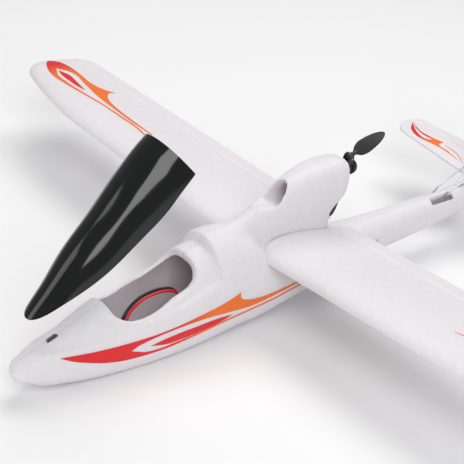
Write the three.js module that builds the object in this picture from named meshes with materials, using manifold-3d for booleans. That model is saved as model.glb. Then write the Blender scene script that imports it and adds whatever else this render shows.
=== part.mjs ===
// Foam electric glider, pusher propeller on a raised pod, battery bay open, canopy lifted clear.
// Millimetres. Nose towards -Y, the pilot's left wing towards +X, +Z up.
// The origin is on the centre plane, on the flat strip under the belly.
import * as THREE from "three";
import { mergeVertices } from "three/addons/utils/BufferGeometryUtils.js";
import Module from "manifold-3d";

const wasm = await Module();
wasm.setup();

// ---- driving dimensions -------------------------------------------------------------------
const GAP = 0.3; // between pieces that touch
const SEAM = 0.15; // half the joint line between the two fuselage halves
const WALL = 4.5; // foam wall of the fuselage
const LOWER_POWER = 2.4; // superellipse powers of the fuselage section
const UPPER_POWER = 2.2;
const MID_SHARE = 0.45; // height of the widest line, as a share of the section height
const HALF_SPAN = 375;
const ROOT_X = 11.5; // inner end of each wing panel
const DIHEDRAL = 0.035;
const WING_Z = 58.5; // trailing edge height at the centre plane
const WING_TE = 170;
const WING_CHORD = 105.3;
const LE_SWEEP = 0.02;
const TE_SWEEP = -0.005;
const SPAR_Y = 100;
const SPAR_Z = 64;
const SPAR_R = 2.5;
const CANOPY_SKIN = 1.3;
const CANOPY_SEAT = 1.8; // depth of the recess that takes the canopy skin
const CANOPY_ANGLE = THREE.MathUtils.degToRad(29.3); // lifted, as it rests
const CANOPY_POLE = { y: -188.9, z: 38.5 };
const PROP_Z = 112;
const PROP_TILT = THREE.MathUtils.degToRad(9.7); // turn of the yoke away from upright
const BLADE_FOLD = THREE.MathUtils.degToRad(66);
const HUB_Y = 163.5;
const PIN_R = 10.5; // distance of each blade pin from the shaft
const STAB_Z = 62.1;
const STAB_T = 3.4;
const ELEV_Y = 386.5; // elevator hinge line
const RUDDER_Y = 392; // rudder hinge line
const WIRE_R = 0.6;
const HORN_H = 19; // elevator horn hole above its hinge
const RUDDER_ARM = 14;
const SERVO_ARM = 12;
const BAY_REAR = -3; // rear end of the bay mouth
const LEDGE_DROP = 5.5; // ledge behind the bay, below the canopy seat
const ROOF_DROP = 9.5; // foam over the bay where it runs on under the ledge
const CAVITY_FLOOR = 4;
const MOTOR_FRONT = 129;
const MOTOR_R = 9;
const MOTOR_BORE = 10.8;
const SHAFT_BORE = 1.3;
const PIN_BORE = 0.95;
const STAB_LE = 340.5; // leading edge at the centre plane
const STAB_TE = 402.8;
const STAB_HALF = 119;
const FIN_T = 4;
const FIN_TOP = 158;
const FIN_SLOT = 2.35; // half the slot that the fin's foot sits in
const RUDDER_T = 3.4;
const HORN_T = 1.4;
const HORN_HOLE = 1.5;
const ELEV_HORN_X = 6;
const RUDDER_HORN_Z = 80;
const SERVO_X = 5.6;
const SERVO_Y = 66;
const SERVO_TOP = 40;
const SERVO_HALF = 4.6;
const ARM_Z = SERVO_TOP + 4.5;
const LEAD_R = 1.2;
const LEAD_APART = 1.6; // half the distance between the two leads
const WIDE = 40; // reach past both sides of the fuselage, for cuts across it

// Fuselage stations: y, half width, bottom, top.
const BODY = [
  [-142, 9.2, 13.4, 32.2],
  [-130, 13.6, 7.2, 38.6],
  [-110, 17.3, 2.4, 46.8],
  [-85, 22.2, -1.2, 57.9],
  [-55, 25.3, -3.6, 68.0],
  [-25, 28.2, -4.5, 79.5],
  [5, 29.8, -3.0, 88.5],
  [30, 29.6, -0.7, 91.0],
  [52, 29.0, 1.8, 84.0],
  [72, 28.0, 4.4, 70.0],
  [95, 25.8, 8.4, 62.5],
  [125, 23.2, 12.5, 60.0],
  [155, 20.6, 16.2, 58.0],
  [200, 16.6, 21.1, 55.8],
  [260, 13.6, 25.3, 56.0],
  [330, 11.0, 30.3, 57.2],
  [391.4, 9.2, 33.6, 60.0],
];
const NOSE_Y = -150;
// Motor pod and pylon slices: z, half width, front, rear.
const POD = [
  [40, 11.4, 24, 146],
  [60, 11.4, 24, 147],
  [70, 11.3, 24, 147],
  [79, 11.5, 24, 147.5],
  [86, 12.4, 31, 152],
  [92, 13.6, 45, 157.5],
  [97, 14.8, 57, 159.4],
  [104, 15.6, 71, 159.6],
  [110, 15.6, 81, 159.6],
  [115, 14.9, 89, 159.5],
  [119, 13.5, 98.5, 158.8],
  [122, 11.3, 109, 157],
  [124.4, 7.8, 123, 152.5],
  [125.6, 3.4, 133, 146],
];
// Lower edge of the canopy along the side: y, z.
const CREASE = [
  [-152, 36.5],
  [-132, 36.5],
  [-111, 37.2],
  [-90, 39.0],
  [-65, 42.0],
  [-41, 47.4],
  [-16, 53.5],
  [-2, 58.6],
  [15, 63.8],
];
// Sill of the bay mouth, from its raised front corner to its rear corner: y, z.
const SILL = [
  [-76, 58],
  [-75, 55.5],
  [-71, 51.3],
  [-66.5, 49.5],
  [-59, 47.9],
  [-51.5, 49.2],
  [-42, 53.2],
  [-24, 60.1],
  [-16.5, 62.4],
  [-9.3, 65.5],
  [-5, 69],
  [BAY_REAR, 73],
];
const ARCH_TOP = { y: 9, z: 100 };

// ---- small tools --------------------------------------------------------------------------
function material(color, roughness, metalness = 0) {
  return new THREE.MeshStandardMaterial({ color, roughness, metalness });
}
const FOAM = material(0xf3eff4, 0.75);
const GLOSS_BLACK = material(0x08080a, 0.12);
const SATIN_BLACK = material(0x141416, 0.45);
const CARBON = material(0x1c1c1f, 0.4);
const STEEL = material(0x9a9ca2, 0.3, 1);
const ALLOY = material(0xb9bcc2, 0.35, 1);
const RED_SILICONE = material(0xc8171c, 0.5);
const BLACK_SILICONE = material(0x101012, 0.5);
const CLEAR_BLUE = material(0x2a55a8, 0.4);
const WHITE_NYLON = material(0xe8e8e6, 0.5);
const PLYWOOD = material(0xd9c49a, 0.7);
const GOLD_WRAP = material(0xc9a227, 0.5);
const BLUE_WRAP = material(0x2b6fb8, 0.35);
const RED_NYLON = material(0xc23a2b, 0.5);

// Smooth curve through [key, value, value...] rows; returns the values at key.
function along(table, key) {
  const last = table.length - 1;
  let i = 0;
  while (i < last - 1 && key > table[i + 1][0]) i += 1;
  const slope = (k, c) => (table[k + 1][c] - table[k][c]) / (table[k + 1][0] - table[k][0]);
  const tangent = (k, c) => {
    if (k === 0) return slope(0, c);
    if (k === last) return slope(last - 1, c);
    const before = table[k][0] - table[k - 1][0];
    const after = table[k + 1][0] - table[k][0];
    return (slope(k - 1, c) * after + slope(k, c) * before) / (before + after);
  };
  const h = table[i + 1][0] - table[i][0];
  const t = (key - table[i][0]) / h;
  return table[i].slice(1).map((a, n) => {
    const c = n + 1;
    const b = table[i + 1][c];
    return (2 * t ** 3 - 3 * t ** 2 + 1) * a + (t ** 3 - 2 * t ** 2 + t) * h * tangent(i, c)
      + (3 * t ** 2 - 2 * t ** 3) * b + (t ** 3 - t ** 2) * h * tangent(i + 1, c);
  });
}

const power = (v, p) => Math.sign(v) * Math.abs(v) ** p;

// Closed surface through rings of equal length; an end ring is capped from its middle point.
function loft(rings) {
  const n = rings[0].length;
  const points = rings.flat();
  const mid = (ring) => ring.reduce((s, p) => s.map((v, k) => v + p[k] / n), [0, 0, 0]);
  const first = points.push(mid(rings[0])) - 1;
  const end = points.push(mid(rings.at(-1))) - 1;
  const faces = [];
  for (let r = 0; r < rings.length - 1; r += 1) {
    for (let k = 0; k < n; k += 1) {
      const [a, b] = [r * n + k, r * n + ((k + 1) % n)];
      faces.push(a, b, b + n, a, b + n, a + n);
    }
  }
  const top = (rings.length - 1) * n;
  for (let k = 0; k < n; k += 1) {
    faces.push(first, (k + 1) % n, k, end, top + k, top + ((k + 1) % n));
  }
  const g = new THREE.BufferGeometry();
  g.setAttribute("position", new THREE.Float32BufferAttribute(points.flat(), 3));
  g.setIndex(faces);
  return g;
}

// A geometry as a solid, turned to face out.
function solid(geometry) {
  const g = geometry.clone();
  g.deleteAttribute("normal");
  g.deleteAttribute("uv");
  const m = mergeVertices(g, 1e-4);
  const tri = new Uint32Array(m.index.array);
  const vertProperties = m.attributes.position.array;
  const make = () => new wasm.Manifold(new wasm.Mesh({ numProp: 3, vertProperties, triVerts: tri }));
  const made = make();
  if (made.volume() > 0) return made;
  for (let i = 0; i < tri.length; i += 3) [tri[i + 1], tri[i + 2]] = [tri[i + 2], tri[i + 1]];
  return make();
}

function geometryOf(made) {
  const m = made.getMesh();
  const g = new THREE.BufferGeometry();
  g.setAttribute("position", new THREE.BufferAttribute(new Float32Array(m.vertProperties), 3));
  g.setIndex(new THREE.BufferAttribute(new Uint32Array(m.triVerts), 1));
  return g;
}

function block(x0, x1, y0, y1, z0, z1) {
  const g = new THREE.BoxGeometry(x1 - x0, y1 - y0, z1 - z0);
  return g.translate((x0 + x1) / 2, (y0 + y1) / 2, (z0 + z1) / 2);
}
const solidBlock = (...limits) => solid(block(...limits));

// Round bar between two points.
function bar(a, b, r0, r1 = r0, sides = 16) {
  const from = new THREE.Vector3(...a);
  const to = new THREE.Vector3(...b);
  const g = new THREE.CylinderGeometry(r1, r0, from.distanceTo(to), sides);
  const direction = to.clone().sub(from).normalize();
  const turn = new THREE.Quaternion().setFromUnitVectors(new THREE.Vector3(0, 1, 0), direction);
  return g.applyQuaternion(turn).translate(...from.add(to).multiplyScalar(0.5).toArray());
}
const solidBar = (...limits) => solid(bar(...limits));

// Outline in the Y-Z plane pushed along X.
function sideProfile(points, x0, x1) {
  const shape = new THREE.Shape(points.map(([y, z]) => new THREE.Vector2(y, z)));
  const g = new THREE.ExtrudeGeometry(shape, { depth: x1 - x0, bevelEnabled: false });
  return g.applyMatrix4(new THREE.Matrix4().set(0, 0, 1, x0, 1, 0, 0, 0, 0, 1, 0, 0, 0, 0, 0, 1));
}

// Outline in the X-Y plane pushed up along Z.
function plan(points, z0, z1) {
  const shape = new THREE.Shape(points.map(([x, y]) => new THREE.Vector2(x, y)));
  return new THREE.ExtrudeGeometry(shape, { depth: z1 - z0, bevelEnabled: false }).translate(0, 0, z0);
}

// Path whose steps land on its own corner points.
class CornerPath extends THREE.Curve {
  constructor(points) {
    super();
    this.points = points.map((p) => new THREE.Vector3(...p));
  }

  getPoint(t, target = new THREE.Vector3()) {
    const s = t * (this.points.length - 1);
    const i = Math.min(Math.floor(s), this.points.length - 2);
    return target.lerpVectors(this.points[i], this.points[i + 1], s - i);
  }

  getPointAt(t, target) {
    return this.getPoint(t, target);
  }

  getTangentAt(t, target = new THREE.Vector3()) {
    const step = 0.3 / (this.points.length - 1);
    const ahead = this.getPoint(Math.min(1, t + step));
    return target.subVectors(ahead, this.getPoint(Math.max(0, t - step))).normalize();
  }
}

// Corner points with each inner corner rounded by a short arc of the given size.
function rounded(points, size) {
  const out = [points[0]];
  for (let i = 1; i < points.length - 1; i += 1) {
    const p = new THREE.Vector3(...points[i]);
    const a = new THREE.Vector3(...points[i - 1]).sub(p).setLength(size).add(p);
    const b = new THREE.Vector3(...points[i + 1]).sub(p).setLength(size).add(p);
    const curve = new THREE.QuadraticBezierCurve3(a, p, b);
    curve.getPoints(3).forEach((q) => out.push(q.toArray()));
  }
  out.push(points.at(-1));
  return out;
}

function wire(points, r, sides = 8) {
  const circle = new THREE.Shape().absarc(0, 0, r, 0, 2 * Math.PI);
  const section = new THREE.Shape(circle.getSpacedPoints(sides).slice(0, sides));
  const extrudePath = new CornerPath(points);
  const steps = points.length - 1;
  return geometryOf(solid(new THREE.ExtrudeGeometry(section, { steps, extrudePath, bevelEnabled: false })));
}

const glider = new THREE.Group();
function add(name, geometry, look, parent = glider) {
  const mesh = new THREE.Mesh(geometry, look);
  mesh.name = name;
  parent.add(mesh);
  return mesh;
}

// ---- fuselage -----------------------------------------------------------------------------
// One section of the fuselage, drawn in by `inset` and lowered on top by `drop(y)`.
// The belly is cut flat at `floor`.
function bodyRing(y, inset, floor, sides, drop) {
  const row = along(BODY, Math.max(y, BODY[0][0]));
  const depth = (BODY[0][0] - y) / (BODY[0][0] - NOSE_Y);
  const taper = depth > 0 ? Math.sqrt(Math.max(0.0025, 1 - depth * depth)) : 1;
  const nose = BODY[0][2] + MID_SHARE * (BODY[0][3] - BODY[0][2]);
  const half = Math.max(0.3, row[0] * taper - inset);
  const low = nose * (1 - taper) + row[1] * taper + inset;
  const high = nose * (1 - taper) + row[2] * taper - inset - drop(y);
  const middle = low + MID_SHARE * (high - low);
  return Array.from({ length: sides }, (_, k) => {
    const a = (2 * Math.PI * (k + 0.5)) / sides;
    const [c, s] = [Math.cos(a), Math.sin(a)];
    const p = 2 / (s > 0 ? UPPER_POWER : LOWER_POWER);
    const z = middle + (s > 0 ? high - middle : middle - low) * power(s, p);
    return [half * power(c, p), y, Math.max(z, floor)];
  });
}

function bodyLoft(stations, inset, floor, drop = () => 0) {
  return solid(loft(stations.map((y) => bodyRing(y, inset, floor, 28, drop))));
}

const SHARED_STATIONS = [-120, -106, ...Array.from({ length: 16 }, (_, k) => -90 + 16 * k)];
const SEAT_STATIONS = [NOSE_Y, -149, -147, -144, -139, -131, ...SHARED_STATIONS.slice(0, 12)];
const OUTER_STATIONS = [
  ...SEAT_STATIONS, ...SHARED_STATIONS.slice(12), 166, 185, 210, 240, 275, 315, 355, BODY.at(-1)[0],
];
const BAY_STATIONS = [-128, ...SHARED_STATIONS, 170, 200, 240, 285, 318];

// Horizontal slices of the pod: pointed in front, blunt behind.
function podLoft() {
  const sides = 28;
  const rings = POD.map(([z, half, front, rear]) => {
    const blunt = Math.min(20, (rear - front) / 2);
    const middle = rear - blunt;
    return Array.from({ length: sides }, (_, k) => {
      const a = (2 * Math.PI * k) / sides;
      const [c, s] = [Math.cos(a), Math.sin(a)];
      const p = s > 0 ? 2 / 3.2 : 1;
      const reach = s > 0 ? blunt : middle - front;
      return [half * power(c, p), middle + reach * power(s, p), z];
    });
  });
  return solid(loft(rings));
}

// Everything above the canopy's lower edge and ahead of its rear arch.
function canopyZone(lift, back) {
  const edge = CREASE.map(([y, z]) => [y, z + lift]);
  const foot = edge.at(-1);
  edge[edge.length - 1] = [foot[0] - back, foot[1]];
  const ahead = NOSE_Y - 5;
  const top = [[ARCH_TOP.y - back, ARCH_TOP.z], [ahead, ARCH_TOP.z], [ahead, edge[0][1]]];
  return solid(sideProfile([...edge, ...top], -WIDE, WIDE));
}

const outer = bodyLoft(OUTER_STATIONS, 0, 0);
const pod = podLoft();
const seat = bodyLoft(SEAT_STATIONS, CANOPY_SEAT, 0);
const roof = (y) => (y > -30 && y < 50 ? ROOF_DROP : 0); // the bay runs on under the rear ledge
const cavity = bodyLoft(BAY_STATIONS, WALL, CAVITY_FLOOR, roof);

// The bay mouth: the side walls stop at the sill, above the canopy edge.
function bayMouth() {
  const top = [[BAY_REAR - 4, ARCH_TOP.z], [SILL[0][0], ARCH_TOP.z]];
  return solid(sideProfile([...SILL, ...top], -WIDE, WIDE));
}

function wingSection(t) {
  const upper = 2.62 * Math.sqrt(t) - 1.9 * t - 1.52 * t ** 2 + 0.86 * t ** 3;
  const lower = 0.62 * Math.sqrt(t) - 0.5 * t;
  return [10.8 * Math.max(0, upper) * 1.22 + 0.7 * t, -6.5 * Math.max(0, lower) * 1.6 - 0.5 * t];
}

// Ring of the wing at a distance x from the centre plane; `grow` swells it for the socket.
function wingRing(x, grow = 0) {
  const sweep = x > 240 ? 19 * ((x - 240) / 117) ** 1.8 : 0;
  let front = WING_TE - WING_CHORD + LE_SWEEP * x + Math.min(sweep, 22);
  let rear = WING_TE + TE_SWEEP * x;
  const tip = Math.max(0, (x - 350) / (HALF_SPAN - 350));
  const round = Math.sqrt(Math.max(0.012, 1 - tip ** 2.2));
  const middle = front + 0.45 * (rear - front);
  front = middle + (front - middle) * (0.35 + 0.65 * round) - grow;
  rear = middle + (rear - middle) * (0.35 + 0.65 * round) + grow;
  const thick = ((rear - front) / WING_CHORD) ** 0.6 * (tip > 0 ? round : 1);
  const flare = 1 + 0.35 * Math.exp(-Math.max(0, x - ROOT_X) / 9);
  const base = WING_Z + DIHEDRAL * x;
  const cuts = [0, 0.012, 0.05, 0.12, 0.22, 0.34, 0.48, 0.63, 0.78, 0.9, 1];
  const at = (t, side) => {
    const h = wingSection(t)[side];
    const z = side === 0 ? h * flare * thick + 0.8 * (1 - t) + grow : h * thick + 0.8 * (1 - t) - grow;
    return [x, front + t * (rear - front), base + z];
  };
  return [...cuts.map((t) => at(t, 0)), ...cuts.slice(1).reverse().map((t) => at(t, 1))];
}

const WING_STATIONS = [
  ROOT_X, 15, 20, 27, 38, 65, 110, 160, 210, 250, 280, 310, 335, 350, 360, 367, 372, HALF_SPAN,
];
const mirrorX = (g) => g.clone().scale(-1, 1, 1);
const wingPanel = solid(loft(WING_STATIONS.map((x) => wingRing(x))));
const socket = solid(loft([ROOT_X - GAP, 15, 20, 27, 38].map((x) => wingRing(x, 0.4))));
const sparBar = (r, reach) => solidBar([-reach, SPAR_Y, SPAR_Z], [reach, SPAR_Y, SPAR_Z], r, r, 16);

function mirrored(made) {
  return solid(mirrorX(geometryOf(made)));
}

// Cooling air: a sunk ramp leads into a D-shaped mouth and on past the motor.
function scoopCut() {
  const mouth = (y, low, high, half) => Array.from({ length: 16 }, (_, k) => {
    const a = (2 * Math.PI * k) / 16;
    const [c, s] = [Math.cos(a), Math.sin(a)];
    return [half * c, y, s > 0 ? low + 3 + (high - low - 3) * s : low + 3 * (1 + power(s, 0.5))];
  });
  const ramp = [mouth(66, 99.5, 124, 8.8), mouth(92, 97.4, 117.5, 8.2)];
  const duct = [mouth(99, 97, 112, 8.2), mouth(115, 97.3, 112.2, 8.2), mouth(140, 100, 116, 8.2)];
  return solid(loft([...ramp, ...duct]));
}

// Everything taken out of the outer form: seat, ledge, bay, sockets, ducts and slots.
function fuselageCuts() {
  const zone = canopyZone(0, 0);
  const ledgeSkin = bodyLoft(SEAT_STATIONS.slice(8), CANOPY_SEAT, 0, () => LEDGE_DROP);
  return [
    zone.subtract(seat),
    zone.intersect(solidBlock(-WIDE, WIDE, BAY_REAR - 16, 30, 50, 110)).subtract(ledgeSkin),
    cavity,
    bayMouth(),
    socket,
    mirrored(socket),
    sparBar(SPAR_R + GAP, 60),
    scoopCut(),
    solidBar([0, MOTOR_FRONT - 4, PROP_Z], [0, 170, PROP_Z], MOTOR_BORE, MOTOR_BORE, 24),
    solidBlock(-5.5, 5.5, 118, 136, 50, 108), // motor wires, down to the boom
    solidBlock(3, 8.5, 282, 312, 44, 64), // elevator wire
    solidBlock(-8.5, -3, 282, 312, 44, 64), // rudder wire
    solidBlock(-FIN_SLOT, FIN_SLOT, 351.6, 378.4, 46.6, 66), // foot of the fin
    solidBlock(-20, 20, 384.5, 400, 58.2, 64), // clearance of the moving elevator
    solidBlock(-2.4, 2.4, -122.5, -113.5, 38.6, 60), // notch for the canopy's catch
  ];
}

const whole = fuselageCuts().reduce((body, cut) => body.subtract(cut), outer.add(pod));
const half = (x0, x1) => solidBlock(x0, x1, -200, 500, -50, 200);
// A key on the left half crosses the joint line under the balance point and sits in a pocket of the
// right half.
const key = (grow) => solidBlock(-4 - grow, 1, -8 - grow, 8 + grow, -1, 2.6 + grow);
const keyed = whole.intersect(half(SEAM, 60)).add(key(0).intersect(whole));
const pocketed = whole.intersect(half(-60, -SEAM)).subtract(key(GAP));
add("fuselage_left_shell", geometryOf(keyed), FOAM);
add("fuselage_right_shell", geometryOf(pocketed), FOAM);

// ---- wings and tail -----------------------------------------------------------------------
const leftWing = wingPanel.subtract(sparBar(SPAR_R + GAP, 92));
add("wing_left_panel", geometryOf(leftWing), FOAM);
add("wing_right_panel", geometryOf(mirrored(leftWing)), FOAM);
add("wing_joiner_rod", bar([-90, SPAR_Y, SPAR_Z], [90, SPAR_Y, SPAR_Z], SPAR_R), CARBON);

// A right-hand outline of [x, y] points, carried on to the other side of the centre plane.
function bothSides(points) {
  const other = points.map(([x, y]) => [-x, y]).reverse();
  return [...points, ...other.filter(([x]) => x !== 0)];
}
const stabPlate = (points) => solid(plan(bothSides(points), STAB_Z - STAB_T / 2, STAB_Z + STAB_T / 2));

// Fixed tailplane with rounded tips and a slot for the foot of the fin.
function stabilizer() {
  const lead = (x) => STAB_LE + 0.192 * x + Math.max(0, x - 102) ** 2 * 0.045;
  const outline = [0, 40, 80, 104, 112, 117, STAB_HALF].map((x) => [x, lead(x)]);
  outline.push([STAB_HALF, ELEV_Y - 0.9]);
  return stabPlate(outline).subtract(solidBlock(-FIN_SLOT, FIN_SLOT, 350, 380, 50, 80));
}
add("stabilizer", geometryOf(stabilizer()), FOAM);

function finSide(points, t) {
  return solid(sideProfile(points, -t / 2, t / 2));
}
const fin = finSide([
  [352, 47],
  [378, 47],
  [378, 65.6],
  [391, 65.6],
  [391, FIN_TOP],
  [375, FIN_TOP - 1],
  [366, FIN_TOP - 6],
  [338, 78],
  [322, 58.6],
  [339.5, 59.2],
  [339.9, 64.2],
  [352, 64.2],
], FIN_T);
add("vertical_fin", geometryOf(fin), FOAM);

// Moving tailplane: cut back in the middle for the rudder, and thinned towards the rear.
function elevator() {
  const plate = stabPlate([
    [9, ELEV_Y + 4.3],
    [14, STAB_TE],
    [STAB_HALF - 6, STAB_TE],
    [STAB_HALF - 2, STAB_TE - 4],
    [STAB_HALF - 0.5, ELEV_Y + 0.4],
  ]);
  const wedge = solid(sideProfile([
    [ELEV_Y + 0.3, STAB_Z - 1.2],
    [ELEV_Y + 2, STAB_Z - 2.2],
    [STAB_TE + 1, STAB_Z - 0.7],
    [STAB_TE + 1, STAB_Z + 0.9],
    [ELEV_Y + 2, STAB_Z + 2.2],
    [ELEV_Y + 0.3, STAB_Z + 1.2],
  ], -130, 130));
  return plate.intersect(wedge);
}
add("elevator", geometryOf(elevator()), FOAM);

// Elevator horn, on the upper face; its hole lies over the hinge line.
function elevatorHorn() {
  const top = STAB_Z + HORN_H;
  const outline = [
    [ELEV_Y + 0.6, STAB_Z + 2.6],
    [ELEV_Y + 7.5, STAB_Z + 2.6],
    [ELEV_Y + 3, top + 1],
    [ELEV_Y + 1.6, top + 2.6],
    [ELEV_Y - 1.6, top + 2.6],
    [ELEV_Y - 2.8, top],
  ];
  const horn = solid(sideProfile(outline, ELEV_HORN_X - HORN_T / 2, ELEV_HORN_X + HORN_T / 2));
  return horn.subtract(solidBar([ELEV_HORN_X - 5, ELEV_Y, top], [ELEV_HORN_X + 5, ELEV_Y, top], HORN_HOLE));
}
add("elevator_horn", geometryOf(elevatorHorn()), WHITE_NYLON);

// Rudder, notched where the elevator swings behind the tailplane.
const rudder = finSide([
  [RUDDER_Y + 0.3, 38],
  [408, 38],
  [414, 44],
  [420, 66],
  [420, 140],
  [416, 152],
  [408, FIN_TOP],
  [RUDDER_Y + 0.3, FIN_TOP],
], RUDDER_T).subtract(solidBlock(-5, 5, 391, 397, 57.4, 66.6));
add("rudder", geometryOf(rudder), FOAM);

// Rudder horn, on the right face.
function rudderHorn() {
  const tip = -RUDDER_ARM;
  const outline = [
    [-2.1, RUDDER_Y + 1],
    [-2.1, RUDDER_Y + 8],
    [tip - 1, RUDDER_Y + 2.8],
    [tip - 2.6, RUDDER_Y + 1],
    [tip - 2.6, RUDDER_Y - 1.4],
    [tip, RUDDER_Y - 2.8],
  ];
  const horn = solid(plan(outline, RUDDER_HORN_Z - HORN_T / 2, RUDDER_HORN_Z + HORN_T / 2));
  return horn.subtract(solidBar([tip, RUDDER_Y, 70], [tip, RUDDER_Y, 90], HORN_HOLE));
}
add("rudder_horn", geometryOf(rudderHorn()), WHITE_NYLON);

// ---- controls inside the fuselage -----------------------------------------------------------
function servo(x) {
  const [left, right] = [x - SERVO_HALF, x + SERVO_HALF];
  return solidBlock(left, right, SERVO_Y - 6, SERVO_Y + 16, SERVO_TOP - 20, SERVO_TOP)
    .add(solidBlock(left, right, SERVO_Y - 10, SERVO_Y + 20, SERVO_TOP - 6, SERVO_TOP - 4))
    .add(solidBar([x, SERVO_Y, SERVO_TOP - 1], [x, SERVO_Y, SERVO_TOP + 3], 2.2));
}

// Lever on the servo, pointing outwards, with the wire's hole near its tip.
function servoArm(x, pin) {
  const upright = (at, r, reach) => solidBar([at, SERVO_Y, ARM_Z - reach], [at, SERVO_Y, ARM_Z + reach], r);
  const outline = [
    [x, SERVO_Y - 3],
    [pin, SERVO_Y - 2.6],
    [pin, SERVO_Y + 2.6],
    [x, SERVO_Y + 3],
  ];
  const lever = solid(plan(outline, ARM_Z - 0.9, ARM_Z + 0.9));
  return lever.add(upright(x, 3.4, 0.9)).add(upright(pin, 2.8, 0.9)).subtract(upright(pin, 1.6, 3));
}

// Wire from a servo arm, along the boom, out through its slot and up to a horn; both ends are bent.
function pushrod(side, ends) {
  const pin = side * (SERVO_X + SERVO_ARM);
  const route = [
    [pin, SERVO_Y, ARM_Z - 3],
    [pin, SERVO_Y, ARM_Z + 3.5],
    [side * 11, 150, 43],
    [side * 5.2, 284, 44],
    [side * 5.9, 304, 58.5],
    ...ends,
  ];
  return wire(rounded(route, 1.6), WIRE_R);
}

const hornEnds = {
  elevator: [ELEV_HORN_X + 2.6, ELEV_HORN_X - 2.4].map((x) => [x, ELEV_Y, STAB_Z + HORN_H]),
  rudder: [RUDDER_HORN_Z + 2.6, RUDDER_HORN_Z - 2.4].map((z) => [-RUDDER_ARM, RUDDER_Y, z]),
};
[[1, "elevator"], [-1, "rudder"]].forEach(([side, name]) => {
  const x = side * SERVO_X;
  add(name + "_servo", geometryOf(servo(x)), CLEAR_BLUE);
  add(name + "_servo_arm", geometryOf(servoArm(x, x + side * SERVO_ARM)), WHITE_NYLON);
  add(name + "_pushrod", pushrod(side, hornEnds[name]), STEEL);
});

const trayCut = bodyLoft(BAY_STATIONS, WALL + GAP, CAVITY_FLOOR + GAP, roof);
const trayHole = (x0, x1) => solidBlock(x0, x1, SERVO_Y - 6.4, SERVO_Y + 16.4, 20, 40);
const tray = solidBlock(-30, 30, 48, 92, 31.4, 33.4).intersect(trayCut);
add("servo_tray", geometryOf(tray.subtract(trayHole(0.6, 10.6)).subtract(trayHole(-10.6, -0.6))), PLYWOOD);
add("receiver_unit", block(-9, 9, 14, 38, 7.4, 16), SATIN_BLACK);
add("speed_controller", block(-8, 8, 100, 124, 24, 31), GOLD_WRAP);
add("battery_pack", block(-9.5, 9.5, -112, -72, 12, 25), BLUE_WRAP);

// ---- battery leads ------------------------------------------------------------------------
// Route from the battery, up over the bay in an arch, and down to the plug under the ledge.
const LEAD_ROUTE = [
  [5, -69, 20],
  [8, -66, 24],
  [11.5, -66, 34],
  [13, -65, 44],
  [11.6, -59, 51],
  [9.6, -49, 55.6],
  [8.4, -38, 57],
  [8.2, -27, 56.6],
  [9, -18, 54.4],
  [10, -12, 49],
  [10, -7, 42],
  [8, -4, 35],
];
// A lead set to one side of the route; `lift` raises its arch, points 3 to 9.
function lead(dx, lift) {
  const raised = (z, i) => (i > 2 && i < 10 ? z + lift : z);
  const points = LEAD_ROUTE.map(([x, y, z], i) => new THREE.Vector3(x + dx, y, raised(z, i)));
  const curve = new THREE.CatmullRomCurve3(points, false, "centripetal");
  return wire(curve.getSpacedPoints(26).map((p) => p.toArray()), LEAD_R, 8);
}
add("battery_lead_red", lead(LEAD_APART, 0), RED_SILICONE);
add("battery_lead_black", lead(-LEAD_APART, 0.4), BLACK_SILICONE);
add("battery_plug", block(3.2, 12.8, -8, 3, 24, 33.6), RED_NYLON);

// ---- motor and propeller --------------------------------------------------------------------
function onShaft(y0, y1, r0, r1 = r0, sides = 24) {
  return solidBar([0, y0, PROP_Z], [0, y1, PROP_Z], r0, r1, sides);
}
const motorCan = onShaft(MOTOR_FRONT, 153, MOTOR_R).add(onShaft(152.5, 155, 7, 5));
add("motor_can", geometryOf(motorCan.subtract(onShaft(138, 170, SHAFT_BORE, SHAFT_BORE, 12))), ALLOY);
const mountRing = onShaft(MOTOR_FRONT - 3.2, MOTOR_FRONT - GAP, 10.4).subtract(onShaft(120, 140, 4, 4, 16));
add("motor_mount", geometryOf(mountRing), SATIN_BLACK);

const propeller = new THREE.Group();
propeller.position.set(0, HUB_Y, PROP_Z);
propeller.rotation.y = PROP_TILT;
glider.add(propeller);
add("motor_shaft", bar([0, -24, 0], [0, 3.6, 0], 1, 1, 12), STEEL, propeller);

// Hub with a slotted ear at each end; each ear is bored for its blade's pin.
function propYoke() {
  const hub = solid(new THREE.CylinderGeometry(5, 5, 6, 20));
  const cuts = [1, -1].flatMap((s) => [
    solidBlock(-1.9, 1.9, -4, 4, Math.min(s * 5.6, s * 20), Math.max(s * 5.6, s * 20)),
    solidBar([-6, 0, s * PIN_R], [6, 0, s * PIN_R], PIN_BORE, PIN_BORE, 12),
  ]);
  cuts.push(solidBar([0, -6, 0], [0, 3.9, 0], SHAFT_BORE, SHAFT_BORE, 12));
  const ears = solidBlock(-3.6, 3.6, -3, 3, -PIN_R - 2.6, PIN_R + 2.6);
  return cuts.reduce((made, cut) => made.subtract(cut), hub.add(ears));
}
add("prop_yoke", geometryOf(propYoke()), SATIN_BLACK, propeller);

const DOME = [
  [0, 3.3],
  [6.6, 3.3],
  [6.6, 4.6],
  [6.2, 6.6],
  [5, 8.6],
  [3, 10],
  [0, 10.6],
];
const dome = new THREE.LatheGeometry(DOME.map(([r, y]) => new THREE.Vector2(r, y)), 24);
const domeBore = solidBar([0, 0, 0], [0, 3.9, 0], 1.4, 1.4, 12);
add("prop_spinner", geometryOf(solid(dome).subtract(domeBore)), SATIN_BLACK, propeller);

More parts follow.
